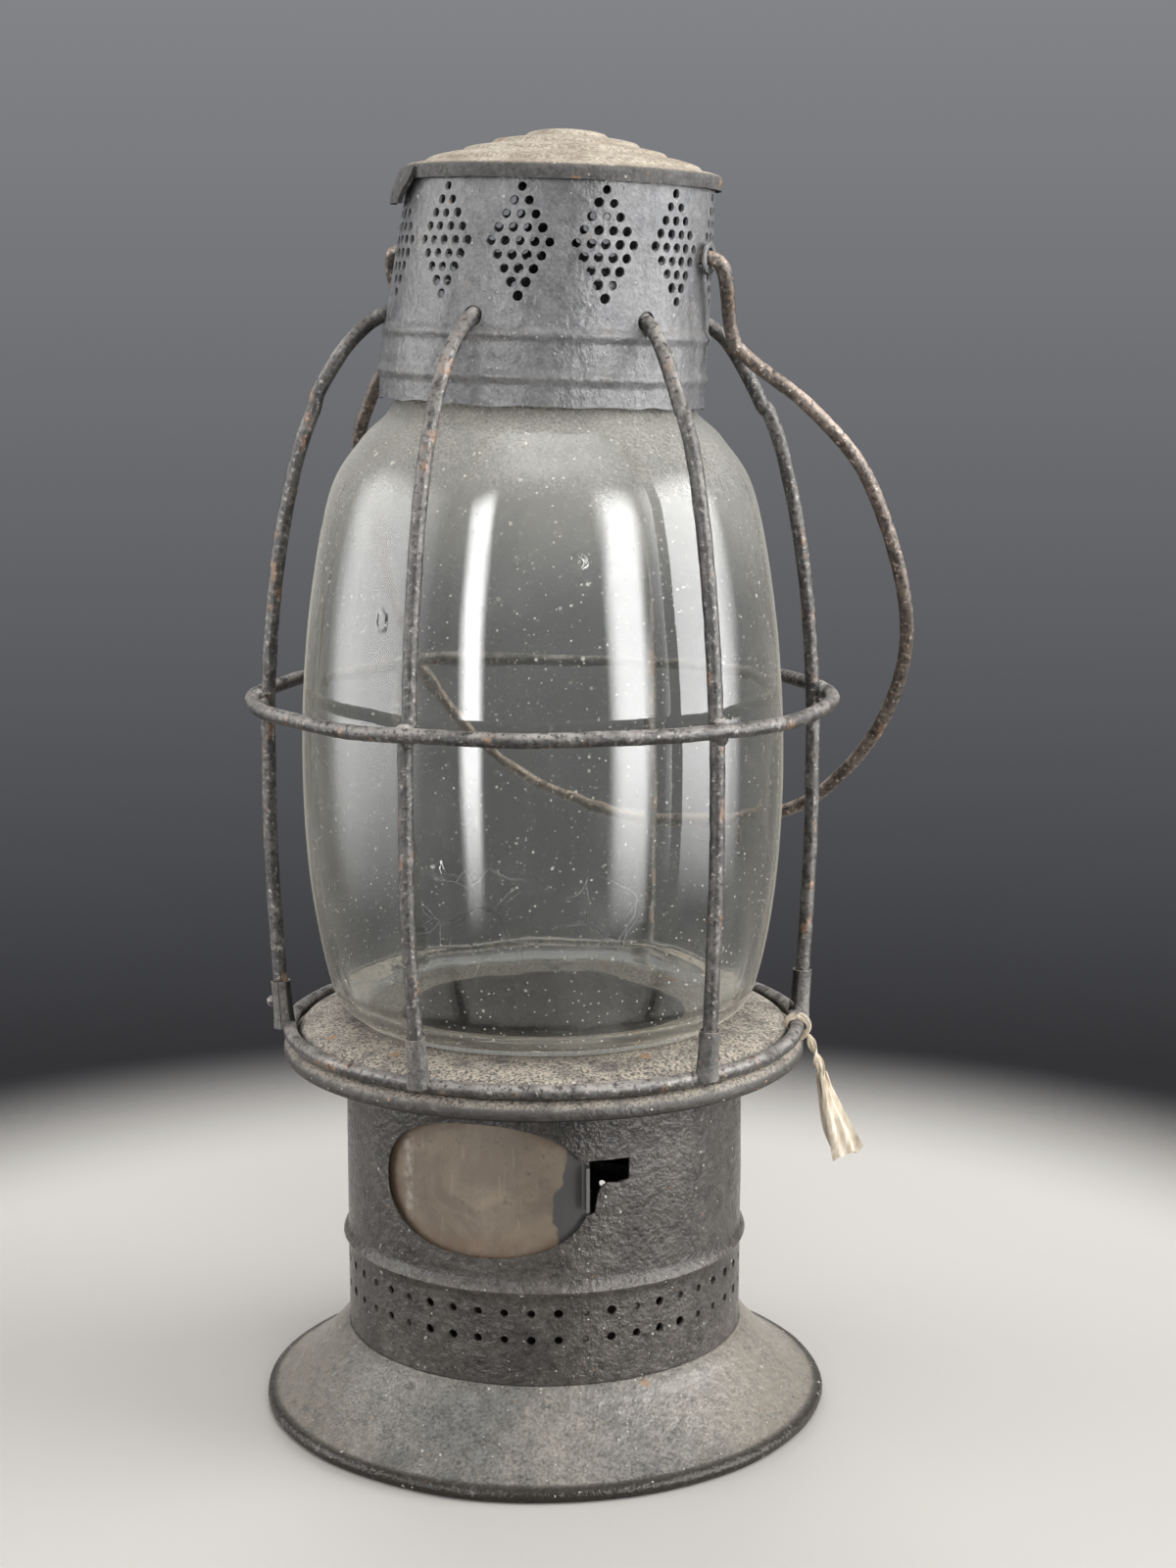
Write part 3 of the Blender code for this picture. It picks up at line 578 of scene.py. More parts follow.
def plain_fibre(name, light, dark, size):
    finish, tree, shader = new_finish(name)
    fibre = clouds(tree, size, 5, stretch=(1, 1, 0.2))
    colour = blend(tree, between(tree, fibre, 0.35, 0.68), light, dark)
    colour = blend(tree, marked(tree, "charred"), colour, (0.015, 0.013, 0.012))
    complete(tree, shader, colour, spread(tree, fibre, 0.75, 0.95), fibre, 0.10)
    return finish


tag_paper = plain_fibre("yellowed_paper", (0.84, 0.75, 0.61), (0.55, 0.455, 0.33), 1.6)
wick_cotton = plain_fibre("sooty_cotton", (0.50, 0.45, 0.36), (0.16, 0.13, 0.10), 0.9)
print("other finishes:", globe_glass.name, tag_paper.name, wick_cotton.name)

# %% [markdown]
# ## Tools for turned tin and wire
# Tin pieces are spun or rolled, so each is an outline of radius and height turned round the axis. A
# Spin operator could do it, but writing the rings out keeps the number of points known and lets a rule
# move each point, for dents and for the hood's lean. Points are in millimetres until the mesh is made.

# %% Turned shells
def through(points, steps=6):
    """Smooth open line through the points, by Catmull-Rom."""
    first = [2 * a - b for a, b in zip(points[0], points[1])]
    last = [2 * a - b for a, b in zip(points[-1], points[-2])]
    ends = [first, *points, last]
    line = []
    for p, q, r, s in zip(ends, ends[1:], ends[2:], ends[3:]):
        for k in range(steps):
            t = k / steps
            line.append(tuple(0.5 * (2 * b + (c - a) * t + (2 * a - 5 * b + 4 * c - d) * t * t
                                     + (3 * b - a - 3 * c + d) * t ** 3) for a, b, c, d in zip(p, q, r, s)))
    return line + [tuple(points[-1])]


def inner_side(line, wall):
    """The line moved to its right by a wall, which is a rule of height."""
    inner = []
    for k, (radius, height) in enumerate(line):
        before = line[max(k - 1, 0)]
        after = line[min(k + 1, len(line) - 1)]
        along = Vector((after[0] - before[0], after[1] - before[1])).normalized()
        thick = wall(height)
        inner.append((max(radius + along.y * thick, 0.0), height - along.x * thick))
    return inner


def sheet(line, thickness):
    """Closed outline of a sheet whose outer side is the line; the metal lies to the line's right."""
    return list(line) + inner_side(line, lambda height: thickness)[::-1]


def turned(outline, around=180):
    """Points and faces of a closed outline turned round the axis."""
    points = []
    rings = []
    for radius, height in outline:
        if radius < 1e-6:
            rings.append([len(points)] * around)
            points.append(Vector((0, 0, height)))
        else:
            rings.append([len(points) + k for k in range(around)])
            points += [point_at(360 * k / around, radius, height) for k in range(around)]
    faces = []
    for low, high in zip(rings, rings[1:] + rings[:1]):
        for k in range(around):
            m = (k + 1) % around
            corners = list(dict.fromkeys((low[k], low[m], high[m], high[k])))
            if len(corners) > 2:
                faces.append(corners)
    return points, faces


def stack_faces(count, levels):
    """Faces of a stack of rings with this many points each, closed at both ends."""
    faces = [range(count)[::-1], [count * (levels - 1) + i for i in range(count)]]
    for level in range(levels - 1):
        low = count * level
        for i in range(count):
            m = (i + 1) % count
            faces.append((low + i, low + m, low + count + m, low + count + i))
    return faces


def part_turned(outline, start, end, around):
    """The same, but only from one bearing to another, with both ends closed."""
    points = []
    for bearing in evenly(start, end, around):
        points += [point_at(bearing, radius, height) for radius, height in outline]
    return points, stack_faces(len(outline), around + 1)


def smooth(piece, crease):
    piece.data.shade_smooth()
    piece.data.set_sharp_from_angle(angle=radians(crease))


def new_piece(name, points, faces, finish, crease=38):
    piece = new_object(name, [point * MM for point in points], [], faces)
    shell = bmesh.new()
    shell.from_mesh(piece.data)
    bmesh.ops.remove_doubles(shell, verts=shell.verts, dist=1e-7)
    bmesh.ops.recalc_face_normals(shell, faces=shell.faces)
    if shell.calc_volume(signed=True) < 0:
        bmesh.ops.reverse_faces(shell, faces=shell.faces)
    shell.to_mesh(piece.data)
    shell.free()
    piece.data.materials.append(finish)
    smooth(piece, crease)
    return piece


def settle(piece, body, slot, *nodes):
    """Hangs a finished piece on its body, in place of the solids that it stands for."""
    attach(piece, body)
    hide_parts(*nodes)
    size = [round(side / MM, 1) for side in piece.dimensions]
    print(piece.name, size, "mm,", len(piece.data.polygons), "faces, on", body)


def mark(piece, name, rule):
    """Stores a share from 0 to 1 on each point, for the finish to read."""
    layer = piece.data.attributes.new(name, "FLOAT", "POINT")
    for vertex in piece.data.vertices:
        layer.data[vertex.index].value = rule(vertex.co / MM)


def ramp(value, low, high):
    share = min(max((value - low) / (high - low), 0.0), 1.0)
    return share * share * (3 - 2 * share)


def dented(points, depth, size, seed):
    """Points pushed in and out by a soft noise, as on thin tin that has been handled."""
    shift = Vector((7.3, 3.1, 5.7)) * seed
    return [p + Vector((p.x, p.y, 0)).normalized() * depth * noise.noise(p / size + shift) for p in points]


print("turning tools ready")

# %% [markdown]
# The skirt is a flared cone with its lower edge rolled round a wire, and a flat flange inside the top
# that the fount's lugs hang on. Three notches in the flange let the lugs through, and a Boolean cuts them.

# %% Cutting tool and skirt
TIN = 0.8


def apply_modifiers(piece):
    graph = bpy.context.evaluated_depsgraph_get()
    made = bpy.data.meshes.new_from_object(piece.evaluated_get(graph), depsgraph=graph)
    piece.modifiers.clear()
    piece.data = made


def cut(piece, name, points, faces):
    """Takes a solid of these points away from the piece."""
    cutter = new_piece(name, points, faces, piece.data.materials[0])
    modifier = piece.modifiers.new(name, "BOOLEAN")
    modifier.operation = "DIFFERENCE"
    modifier.solver = "EXACT"
    modifier.object = cutter
    apply_modifiers(piece)
    bpy.data.objects.remove(cutter, do_unlink=True)


def cut_along(piece, name, ring, bearing, start, end):
    """Takes away what a ring of points sweeps when it moves out along a bearing."""
    points = [p + outward(bearing) * reach for reach in (start, end) for p in ring]
    cut(piece, name, points, stack_faces(len(ring), 2))


ROLL = (74.05, 1.95)   # radius of its middle, and of the roll itself, which stands on the floor
FLANGE_TOP = 21.6
NOTCH = [(-6, 18), (6, 18), (6, 24), (-6, 24)]   # its corners, sideways and up
flare = through([(53.6, FLANGE_TOP), (55.6, 19.8), (59.0, 15.7), (64.5, 10.3), (70.0, 5.9), (73.0, 4.1)], 8)
roll_turns = [radians(a) for a in range(95, -201, -15)]
roll = [(ROLL[0] + ROLL[1] * cos(turn), ROLL[1] + ROLL[1] * sin(turn)) for turn in roll_turns]
under = [(r - 0.6, z - 0.9) for r, z in flare[::-1] if r < 71.5]
skirt_line = [(45.0, FLANGE_TOP), (50.0, FLANGE_TOP)] + flare + roll + under
skirt_line += [(50.0, FLANGE_TOP - TIN), (45.0, FLANGE_TOP - TIN)]
points, faces = turned(skirt_line, 200)
points = [p if p.z > 18 else q for p, q in zip(points, dented(points, 0.5, 26, 1))]
points = [Vector((p.x, p.y, max(p.z, 0.0))) for p in points]
skirt = new_piece("flared_skirt", points, faces, skirt_paint)
for bearing in (60, 180, 300):
    corners = [point_at(bearing + 90, aside, height) for aside, height in NOTCH]
    cut_along(skirt, "lug_notch", corners, bearing, 40, 49.6)
smooth(skirt, 38)
# Paler on the left and right flanks above the roll, through the rubbed-and-highlit layer.
mark(skirt, "rubbed_and_highlit", lambda p: ramp(abs(p.x), 36, 62) * ramp(p.z, 2.5, 5.0))
# Nearly black low on the outside of the roll.
mark(skirt, "rim", lambda p: ramp(hypot(p.x, p.y), 72.8, 74.2) * ramp(p.z, 4.6, 3.5))
settle(skirt, "lantern", "skirt_tin", "base_skirt")

# %% [markdown]
# ## Geometry Nodes: a wall punched with holes
# The hood has twelve diamonds of twenty-five holes, and the drum two rows of forty-eight vents. Drawing
# them one by one would be hopeless, and a texture would look flat from the side, so one tree punches
# them: it takes a flat pattern, whose points are a bearing and a height, wraps it round the wall, stands a
# tapered punch on each point, and takes all the punches out of the wall with one Boolean.

# %% The punching tree
def new_tree(name, inputs):
    """Empty Geometry Nodes tree with named inputs; returns it and its input sockets."""
    tree = bpy.data.node_groups.new(name, "GeometryNodeTree")
    tree.interface.new_socket("Geometry", in_out="INPUT", socket_type="NodeSocketGeometry")
    for label, kind in inputs.items():
        tree.interface.new_socket(label, in_out="INPUT", socket_type="NodeSocket" + kind)
    tree.interface.new_socket("Geometry", in_out="OUTPUT", socket_type="NodeSocketGeometry")
    return tree, tree.nodes.new("NodeGroupInput").outputs


def end_tree(tree, geometry, finish):
    whole = add(tree, "GeometryNodeRealizeInstances", {"Geometry": geometry})
    dressed = add(tree, "GeometryNodeSetMaterial", {"Geometry": whole, "Material": finish})
    put(tree, "NodeGroupOutput", {"Geometry": dressed})


def run_tree(piece, tree, values):
    """Gives the piece the tree's result as a plain mesh."""
    modifier = piece.modifiers.new(tree.name, "NODES")
    modifier.node_group = tree
    for item in tree.interface.items_tree:
        if item.item_type == "SOCKET" and item.in_out == "INPUT" and item.name in values:
            modifier[item.identifier] = values[item.name]
    apply_modifiers(piece)


def wrapped(tree, given):
    """Points of the flat pattern round the wall, each with its outward direction stored."""
    pattern = put(tree, "GeometryNodeObjectInfo", {"Object": given["Pattern"]}).outputs["Geometry"]
    place = add(tree, "GeometryNodeInputPosition")
    flat = put(tree, "ShaderNodeSeparateXYZ", {0: place}).outputs
    back = scaled(tree, calc(tree, "COSINE", flat["X"]), -1.0)
    out = add(tree, "ShaderNodeCombineXYZ", {0: calc(tree, "SINE", flat["X"]), 1: back})
    kept = add(tree, "GeometryNodeStoreNamedAttribute", {"Geometry": pattern, "Name": "out", "Value": out},
               data_type="FLOAT_VECTOR")
    up = add(tree, "ShaderNodeCombineXYZ", {2: flat["Z"]})
    spot = vector(tree, "ADD", stretched(tree, out, given["Wall radius"]), up)
    return add(tree, "GeometryNodeSetPosition", {"Geometry": kept, "Position": spot})


def stood_outward(tree):
    out = add(tree, "GeometryNodeInputNamedAttribute", {"Name": "out"}, data_type="FLOAT_VECTOR")
    return add(tree, "FunctionNodeAlignRotationToVector", {"Vector": out}, axis="Z")


def chance(tree, low, high, seed):
    return put(tree, "FunctionNodeRandomValue", {2: low, 3: high, "Seed": seed}).outputs[1]


WALL_INPUTS = {"Pattern": "Object", "Wall radius": "Float", "Hole radius": "Float", "Seed": "Int",
               "Finish": "Material"}
punch_tree, given = new_tree("punched wall", {**WALL_INPUTS, "Smallest": "Float"})
spots = wrapped(punch_tree, given)
wide = scaled(punch_tree, given["Hole radius"], 1.15)
slim = scaled(punch_tree, given["Hole radius"], 0.85)
punch = add(punch_tree, "GeometryNodeMeshCone", {"Vertices": 14, "Radius Top": wide, "Radius Bottom": slim,
                                                 "Depth": 0.004})
punch = add(punch_tree, "GeometryNodeTransform", {"Geometry": punch, "Translation": (0, 0, -0.002)})
scale = chance(punch_tree, given["Smallest"], 1.06, given["Seed"])
scale = add(punch_tree, "ShaderNodeCombineXYZ", {0: scale, 1: scale, 2: 1.0})
punches = add(punch_tree, "GeometryNodeInstanceOnPoints", {"Points": spots, "Instance": punch, "Scale": scale,
                                                          "Rotation": stood_outward(punch_tree)})
punches = add(punch_tree, "GeometryNodeRealizeInstances", {"Geometry": punches})
wall = add(punch_tree, "GeometryNodeMeshBoolean", {0: given["Geometry"], 1: punches}, operation="DIFFERENCE",
           solver="MANIFOLD")
end_tree(punch_tree, wall, given["Finish"])
print(punch_tree.name, "has", len(punch_tree.nodes), "nodes")

# %% [markdown]
# Soot and old paint have closed some of the holes, which show as grey discs and crescents. A second tree
# uses the same pattern: it picks a share of the points at random, with a fixed seed, and sets a small
# domed plug a little inside the wall, slipped down so that the top of the hole often stays open.

# %% The plug tree
plug_tree, given = new_tree("plugged holes", {**WALL_INPUTS, "Share": "Float"})
spots = wrapped(plug_tree, given)
lucky = calc(plug_tree, "LESS_THAN", chance(plug_tree, 0.0, 1.0, given["Seed"]), given["Share"])
next_seed = calc(plug_tree, "ADD", given["Seed"], 1.0)
slip = scaled(plug_tree, chance(plug_tree, -0.9, 0.1, next_seed), given["Hole radius"])
slip = add(plug_tree, "ShaderNodeCombineXYZ", {2: slip})
spots = add(plug_tree, "GeometryNodeSetPosition", {"Geometry": spots, "Offset": slip})
plug_radius = scaled(plug_tree, given["Hole radius"], 1.05)
plug = add(plug_tree, "GeometryNodeMeshUVSphere", {"Segments": 12, "Rings": 6, "Radius": plug_radius})
plug = add(plug_tree, "GeometryNodeTransform", {"Geometry": plug, "Scale": (1, 1, 0.16)})
plugs = add(plug_tree, "GeometryNodeInstanceOnPoints", {"Points": spots, "Instance": plug, "Selection": lucky,
                                                       "Rotation": stood_outward(plug_tree)})
end_tree(plug_tree, plugs, given["Finish"])


def merged(into, *others):
    """One mesh from several, each already in its place; the first keeps its name."""
    whole = bmesh.new()
    for piece in (into, *others):
        whole.from_mesh(piece.data)
    whole.to_mesh(into.data)
    whole.free()
    for piece in others:
        bpy.data.objects.remove(piece, do_unlink=True)


def punch_wall(piece, spots, wall, hole, seed, smallest, plug_wall, plugged):
    """Punches a hole at each spot, a bearing and a height, and plugs a share of them."""
    pattern = new_object("pattern", [(radians(bearing), 0, height * MM) for bearing, height in spots])
    values = {"Pattern": pattern, "Hole radius": hole * MM, "Seed": seed, "Finish": piece.data.materials[0]}
    run_tree(piece, punch_tree, {**values, "Wall radius": wall * MM, "Smallest": smallest})
    plugs = new_object("plugs")
    run_tree(plugs, plug_tree, {**values, "Wall radius": plug_wall * MM, "Share": plugged})
    merged(piece, plugs)
    bpy.data.objects.remove(pattern, do_unlink=True)


print(plug_tree.name, "has", len(plug_tree.nodes), "nodes")

# %% [markdown]
# ## Drum
# The drum is a rolled tin tube with one swaged bead. An oval window shows the sliding door, and beside it
# a slot was cut for the door's latch and has torn open towards the window. The window is cut straight
# through along its own bearing, so its sides stay upright in the picture.

# %% Drum
DRUM_RADIUS = 53.2
DRUM_FOOT = 21.9
DRUM_TOP = 105.6
BEAD = (46.9, 1.35, 2.5)   # height, swell and half width
WINDOW = (-17.3, 72.6)   # bearing and height of its middle
WINDOW_HALF = (27.4, 17.6)
VENT_ROWS = (40.9, 33.8)
VENTS = 48
FIRST_VENT = 4.7


def swell(height, bead):
    middle, tall, half = bead
    away = abs(height - middle) / half
    return tall * 0.5 * (1 + cos(pi * away)) if away < 1 else 0.0


drum_line = [(DRUM_RADIUS + swell(h, BEAD), h) for h in evenly(DRUM_TOP, DRUM_FOOT, 84)]
points, faces = turned(sheet(drum_line, TIN), 180)
points = dented(points, 0.22, 21, 2)
drum = new_piece("speckled_drum", points, faces, drum_paint)


def fuller(share, power):
    """Sine or cosine of an oval with fuller corners than an ellipse; a lower power fills them more."""
    return copysign(abs(share) ** power, share)


side = outward(WINDOW[0] + 90)
oval = [side * WINDOW_HALF[0] * fuller(c, 0.86) + Vector((0, 0, WINDOW[1] + WINDOW_HALF[1] * fuller(s, 0.86)))
        for c, s in circle(96)]
cut_along(drum, "window", oval, WINDOW[0], 32, 64)
TORN_SLOT = [(6.0, 81.0), (25.0, 80.9), (24.8, 75.2), (21.5, 74.6), (18.4, 74.9), (16.6, 73.8), (15.6, 71.6),
             (15.2, 69.0), (14.8, 67.2), (13.0, 66.6), (6.0, 66.8)]
cutter = [point_at(bearing, reach, height) for reach in (49, 58) for bearing, height in TORN_SLOT]
cut(drum, "torn_slot", cutter, stack_faces(len(TORN_SLOT), 2))

spots = [(FIRST_VENT + 360 * k / VENTS, row) for row in VENT_ROWS for k in range(VENTS)]
punch_wall(drum, spots, wall=DRUM_RADIUS - 0.4, hole=1.25, seed=4, smallest=0.72,
           plug_wall=DRUM_RADIUS - 0.95, plugged=0.30)
smooth(drum, 38)
# Paler on the bead's upper side: rubbed wear and a painted highlight.
mark(drum, "rubbed_and_highlit",
     lambda p: 0.5 * ramp(abs(p.z - BEAD[0] - 0.5), 1.7, 0.4) * ramp(hypot(p.x, p.y), 53.8, 54.3))
settle(drum, "lantern", "dark_tin", "base_drum")

# %% [markdown]
# ## Door
# The door is a curved sheet in two rails just inside the drum. Its pulling end is folded outward into a
# lip that sticks through the slot. The lip is a separate ribbon, bent in plan, and runs into the sheet.
# Marks for its finish are rules of bearing and height: a scalloped black end, a pale run, and edges darkened
# by rust and by painted shadow of the window's rim.

# %% Door
DOOR_RADIUS = 51.6
DOOR_TIN = 0.7
DOOR_BEARINGS = (-56.0, 13.6)
DOOR_Z = (51.2, 93.8)
LIP_Z = (68.2, 79.8)
door_line = [(DOOR_RADIUS, height) for height in evenly(DOOR_Z[1], DOOR_Z[0], 120)]
points, faces = part_turned(sheet(door_line, DOOR_TIN), *DOOR_BEARINGS, 240)
door = new_piece("sliding_door", points, faces, door_tin)
fold = through([(10.6, 51.3), (12.2, 51.5), (12.95, 52.5), (13.1, 53.9), (12.95, 55.0), (12.5, 55.5)], 5)
fold_inner = [(bearing - 0.62, radius + 0.12) for bearing, radius in fold]
plan = fold + fold_inner[::-1]
levels = evenly(*LIP_Z, 8)
lip_points = [point_at(bearing, radius, z) for z in levels for bearing, radius in plan]
lip = new_piece("door_lip", lip_points, stack_faces(len(plan), len(levels)), door_tin)
merged(door, lip)
smooth(door, 38)


def black_end(p):
    bearing = bearing_of(p)
    lobe = 2.9 * ramp(p.z, 75.0, 71.5) - 1.5 * ramp(p.z, 65.0, 62.5)
    scallop = 7.2 - 1.0 * ramp(p.z, 82.0, 76.0) - lobe + 0.4 * noise.noise(p * 0.5)
    return ramp(bearing, scallop - 0.3, scallop + 0.3)


def pale_run(p):
    bearing = bearing_of(p)
    middle = -41.5 + 0.6 * noise.noise(Vector((0, 0, p.z * 0.2)))
    return ramp(abs(bearing - middle), 2.6, 0.3) * ramp(p.z, 58, 66)


# Rust low on the door, and painted shadow of the window's rim round the edge that the window shows.
def rust_and_window_shadow(p):
    bearing = bearing_of(p)
    across = (bearing - WINDOW[0]) / 31.0
    up = (p.z - WINDOW[1]) / WINDOW_HALF[1]
    low = ramp(up, -0.55, -0.95)
    left = ramp(across, -0.70, -0.98)
    return max(ramp(hypot(across, up), 0.86, 1.0) * 0.7, low, left * 0.6)


mark(door, "black", black_end)
mark(door, "run", pale_run)
mark(door, "edge", rust_and_window_shadow)
settle(door, "door", "bare_tin", "shutter_door")

# %% [markdown]
# ## Guard plate
# A spun plate closes the drum and carries the globe: flat in the middle, domed towards its edge, with a
# groove for the ring wire and a turned-down lip. The line is the top side, and the sheet tool adds the rest.

# %% Guard plate
plate_line = through([(38.0, 107.2), (45.0, 107.2), (51.0, 107.1), (58.0, 106.4), (63.0, 105.1),
                      (65.0, 103.9), (65.7, 102.4), (66.6, 101.3), (68.2, 100.8), (69.4, 99.6),
                      (69.8, 98.2), (69.5, 97.0), (68.8, 96.4)], 6)
points, faces = turned(sheet(plate_line, TIN), 200)
points = dented(points, 0.2, 24, 3)
plate = new_piece("guard_plate_dome", points, faces, plate_paint)
# Paler on the lip's top edge: rubbed wear and a painted highlight.
mark(plate, "rubbed_and_highlit", lambda p: 0.4 * ramp(hypot(p.x, p.y), 67.6, 68.6) * ramp(p.z, 99.4, 100.3))
# Painted shade: near-black in the groove under the ring wire and on the lip's lower half.
mark(plate, "rim", lambda p: max(ramp(p.z, 99.9, 98.6) * 0.8, ramp(abs(hypot(p.x, p.y) - 66.1), 1.0, 0.4)))
settle(plate, "lantern", "dark_tin", "guard_plate")

# %% [markdown]
# ## Geometry Nodes: wire along a path
# Rings, guards and bail are all round wire bent by hand. A curve with a bevel would be too perfect, so a
# tree sweeps a circle along a path of plain edges, at an even step, and then pushes the surface in and
# out with a fine noise, which gives hammer marks and rust lumps their own outline.

# %% The wire tree
def lumpy(tree, geometry, lumps, amount):
    """Surface pushed in and out along its normal by a noise from 0 to 1."""
    push = scaled(tree, calc(tree, "SUBTRACT", lumps, 0.5), amount)
    push = stretched(tree, add(tree, "GeometryNodeInputNormal"), push)
    return add(tree, "GeometryNodeSetPosition", {"Geometry": geometry, "Offset": push})


WIRE_INPUTS = {"Wire radius": "Float", "Sides": "Int", "Step": "Float", "Lumps": "Float", "Seed": "Float",
               "Finish": "Material"}
wire_tree, given = new_tree("wire along a path", WIRE_INPUTS)
path = add(wire_tree, "GeometryNodeMeshToCurve", {"Mesh": given["Geometry"]})
path = add(wire_tree, "GeometryNodeResampleCurve", {"Curve": path, "Length": given["Step"]}, mode="LENGTH")
ring = add(wire_tree, "GeometryNodeCurvePrimitiveCircle", {"Resolution": given["Sides"],
                                                           "Radius": given["Wire radius"]})
tube = add(wire_tree, "GeometryNodeCurveToMesh", {"Curve": path, "Profile Curve": ring, "Fill Caps": True})
place = add(wire_tree, "GeometryNodeInputPosition")
lumps = put(wire_tree, "ShaderNodeTexNoise",
            {"Vector": place, "W": given["Seed"], "Scale": 210.0, "Detail": 4.0},
            noise_dimensions="4D").outputs["Fac"]
end_tree(wire_tree, lumpy(wire_tree, tube, lumps, given["Lumps"]), given["Finish"])


def wire_piece(name, paths, radius, finish, closed=False, seed=1.0):
    """Wire swept along each path of points, all in one mesh."""
    points = []
    edges = []
    for path in paths:
        first = len(points)
        points += [p * MM for p in path]
        edges += [(first + k, first + k + 1) for k in range(len(path) - 1)]
        if closed:
            edges.append((len(points) - 1, first))
    piece = new_object(name, points, edges)
    values = {"Wire radius": radius * MM, "Sides": 16, "Step": 0.9 * MM, "Lumps": 0.45 * MM, "Seed": seed}
    run_tree(piece, wire_tree, {**values, "Finish": finish})
    smooth(piece, 50)
    return piece


print(wire_tree.name, "has", len(wire_tree.nodes), "nodes")

# %% [markdown]
# Two rings hold the cage: one in the plate's groove and one round the globe's waist. The waist ring was
# bent by hand from one rod, so it is a little out of level.

# %% Rings
PLATE_RING = (68.0, 103.7)
WAIST_RING = (76.1, 192.0)
WIRE_RADIUS = 1.9


def ring_path(ring, wave, seed):
    """Closed circle with a slow wander in radius and height."""
    path = []
    for bearing in range(0, 360, 2):
        spot = outward(bearing) * 2.2
        wander = noise.noise(spot + Vector((0, 0, seed)))
        rise = noise.noise(spot + Vector((0, 0, seed + 9)))
        path.append(point_at(bearing, ring[0] + wave * 0.5 * wander, ring[1] + wave * rise))
    return path


plate_wire = wire_piece("plate_wire", [ring_path(PLATE_RING, 0.25, 2)], WIRE_RADIUS, cage_wire, closed=True)
settle(plate_wire, "lantern", "wire", "plate_ring")
waist_wire = wire_piece("waist_wire", [ring_path(WAIST_RING, 0.8, 5)], WIRE_RADIUS, cage_wire, closed=True)
settle(waist_wire, "lantern", "wire", "guard_ring")

# %% [markdown]
# ## Guards
# Six wires stand in tin sleeves on the plate, bow out round the globe and bend over into holes in the
# hood. The hood has been knocked to the right, so the bent-over ends follow it: a rule of height leans
# every point of the hood, and of whatever is fixed to it. Below the ring each guard is a second length
# of wire, soldered on a little to one side, so the path has a small jog where the ring crosses.

# %% Guards
HOOD_FOOT = 268.6
LEAN_FROM = 280.0
HOOD_SKEW = radians(4.3)
HOOD_TILT = radians(2.0)


def lean(p):
    """Where a point of the upright hood lies now that the hood leans to the right."""
    skewed = Vector((p.x + tan(HOOD_SKEW) * max(0.0, p.z - LEAN_FROM), p.y, p.z - HOOD_FOOT))
    return Matrix.Rotation(HOOD_TILT, 3, "Y") @ skewed + Vector((0, 0, HOOD_FOOT))


def lean_over(piece):
    for vertex in piece.data.vertices:
        vertex.co = lean(vertex.co / MM) * MM


GUARD_BEARINGS = (-25.5, 36.6, 95.0, 155.0, 215.0, 275.0)
GUARD_JOG = (-0.9, 0.3, 0.5, -0.4, 0.6, -0.5)
GUARD_LINE = [(69.4, 106.4), (70.5, 120), (72, 150), (72.2, 172), (71.9, 192), (70, 218), (66.6, 240),
              (61.5, 260), (54, 276), (46.5, 286.2), (38.8, 291.2)]


def guard_path(bearing, jog, seed):
    path = []
    for radius, height in through(GUARD_LINE, 10):
        below = ramp(height, 194.0, 188.5) * ramp(height, 108, 150)
        wander = 0.35 * noise.noise(Vector((seed, 0, height / 38)))
        spot = point_at(bearing + jog * below + wander, radius + 0.3 * wander, height)
        path.append(lean(spot) if height > HOOD_FOOT else spot)
    return path


guard_paths = [guard_path(b, jog, 3.7 * k) for k, (b, jog) in enumerate(zip(GUARD_BEARINGS, GUARD_JOG))]
guards = wire_piece("guard_wires", guard_paths, WIRE_RADIUS, cage_wire, seed=2.0)
settle(guards, "lantern", "wire", *[f"guard_wire_{k}" for k in range(1, 7)])

# %% [markdown]
# Each sleeve is a strip of tin wrapped once round the wire with its edge lapped over, so in section it is
# a spiral that starts and ends with a step. It flares a little where it meets the plate.

# %% Sleeves
SLEEVE = 12.6
SLEEVE_INSIDE = 2.02
SLEEVE_WALL = 0.35
SLEEVE_START = -2.8   # along the wire from its foot
LAP_SIDE = 70.0   # degrees from outward to the lapped edge


def sleeve_shape(path, bearing):
    axis = (path[12] - path[0]).normalized()
    out = outward(bearing)
    across = axis.cross(out).normalized()
    out = across.cross(axis)
    turns = 30
    levels = 9
    points = []
    for wall in (0.0, SLEEVE_WALL):
        for level in range(levels + 1):
            share = level / levels
            flare = 0.45 * (1 - share) ** 4
            for k in range(turns + 1):
                angle = radians(LAP_SIDE) + 2 * pi * k / turns
                reach = SLEEVE_INSIDE + wall + SLEEVE_WALL * k / turns + flare
                spot = path[0] + axis * (SLEEVE * share + SLEEVE_START)
                points.append(spot + (out * cos(angle) + across * sin(angle)) * reach)
    row = turns + 1
    layer = row * (levels + 1)
    faces = []
    for level in range(levels):
        for k in range(turns):
            a = level * row + k
            faces.append((a, a + 1, a + row + 1, a + row))
            faces.append((layer + a, layer + a + row, layer + a + row + 1, layer + a + 1))
        for edge in (level * row, level * row + turns):
            quad = (edge, edge + row, layer + edge + row, layer + edge)
            faces.append(quad if edge == level * row else quad[::-1])
    for k in range(turns):
        top = levels * row + k
        faces.append((k, layer + k, layer + k + 1, k + 1))
        faces.append((top, top + 1, layer + top + 1, layer + top))
    return points, faces


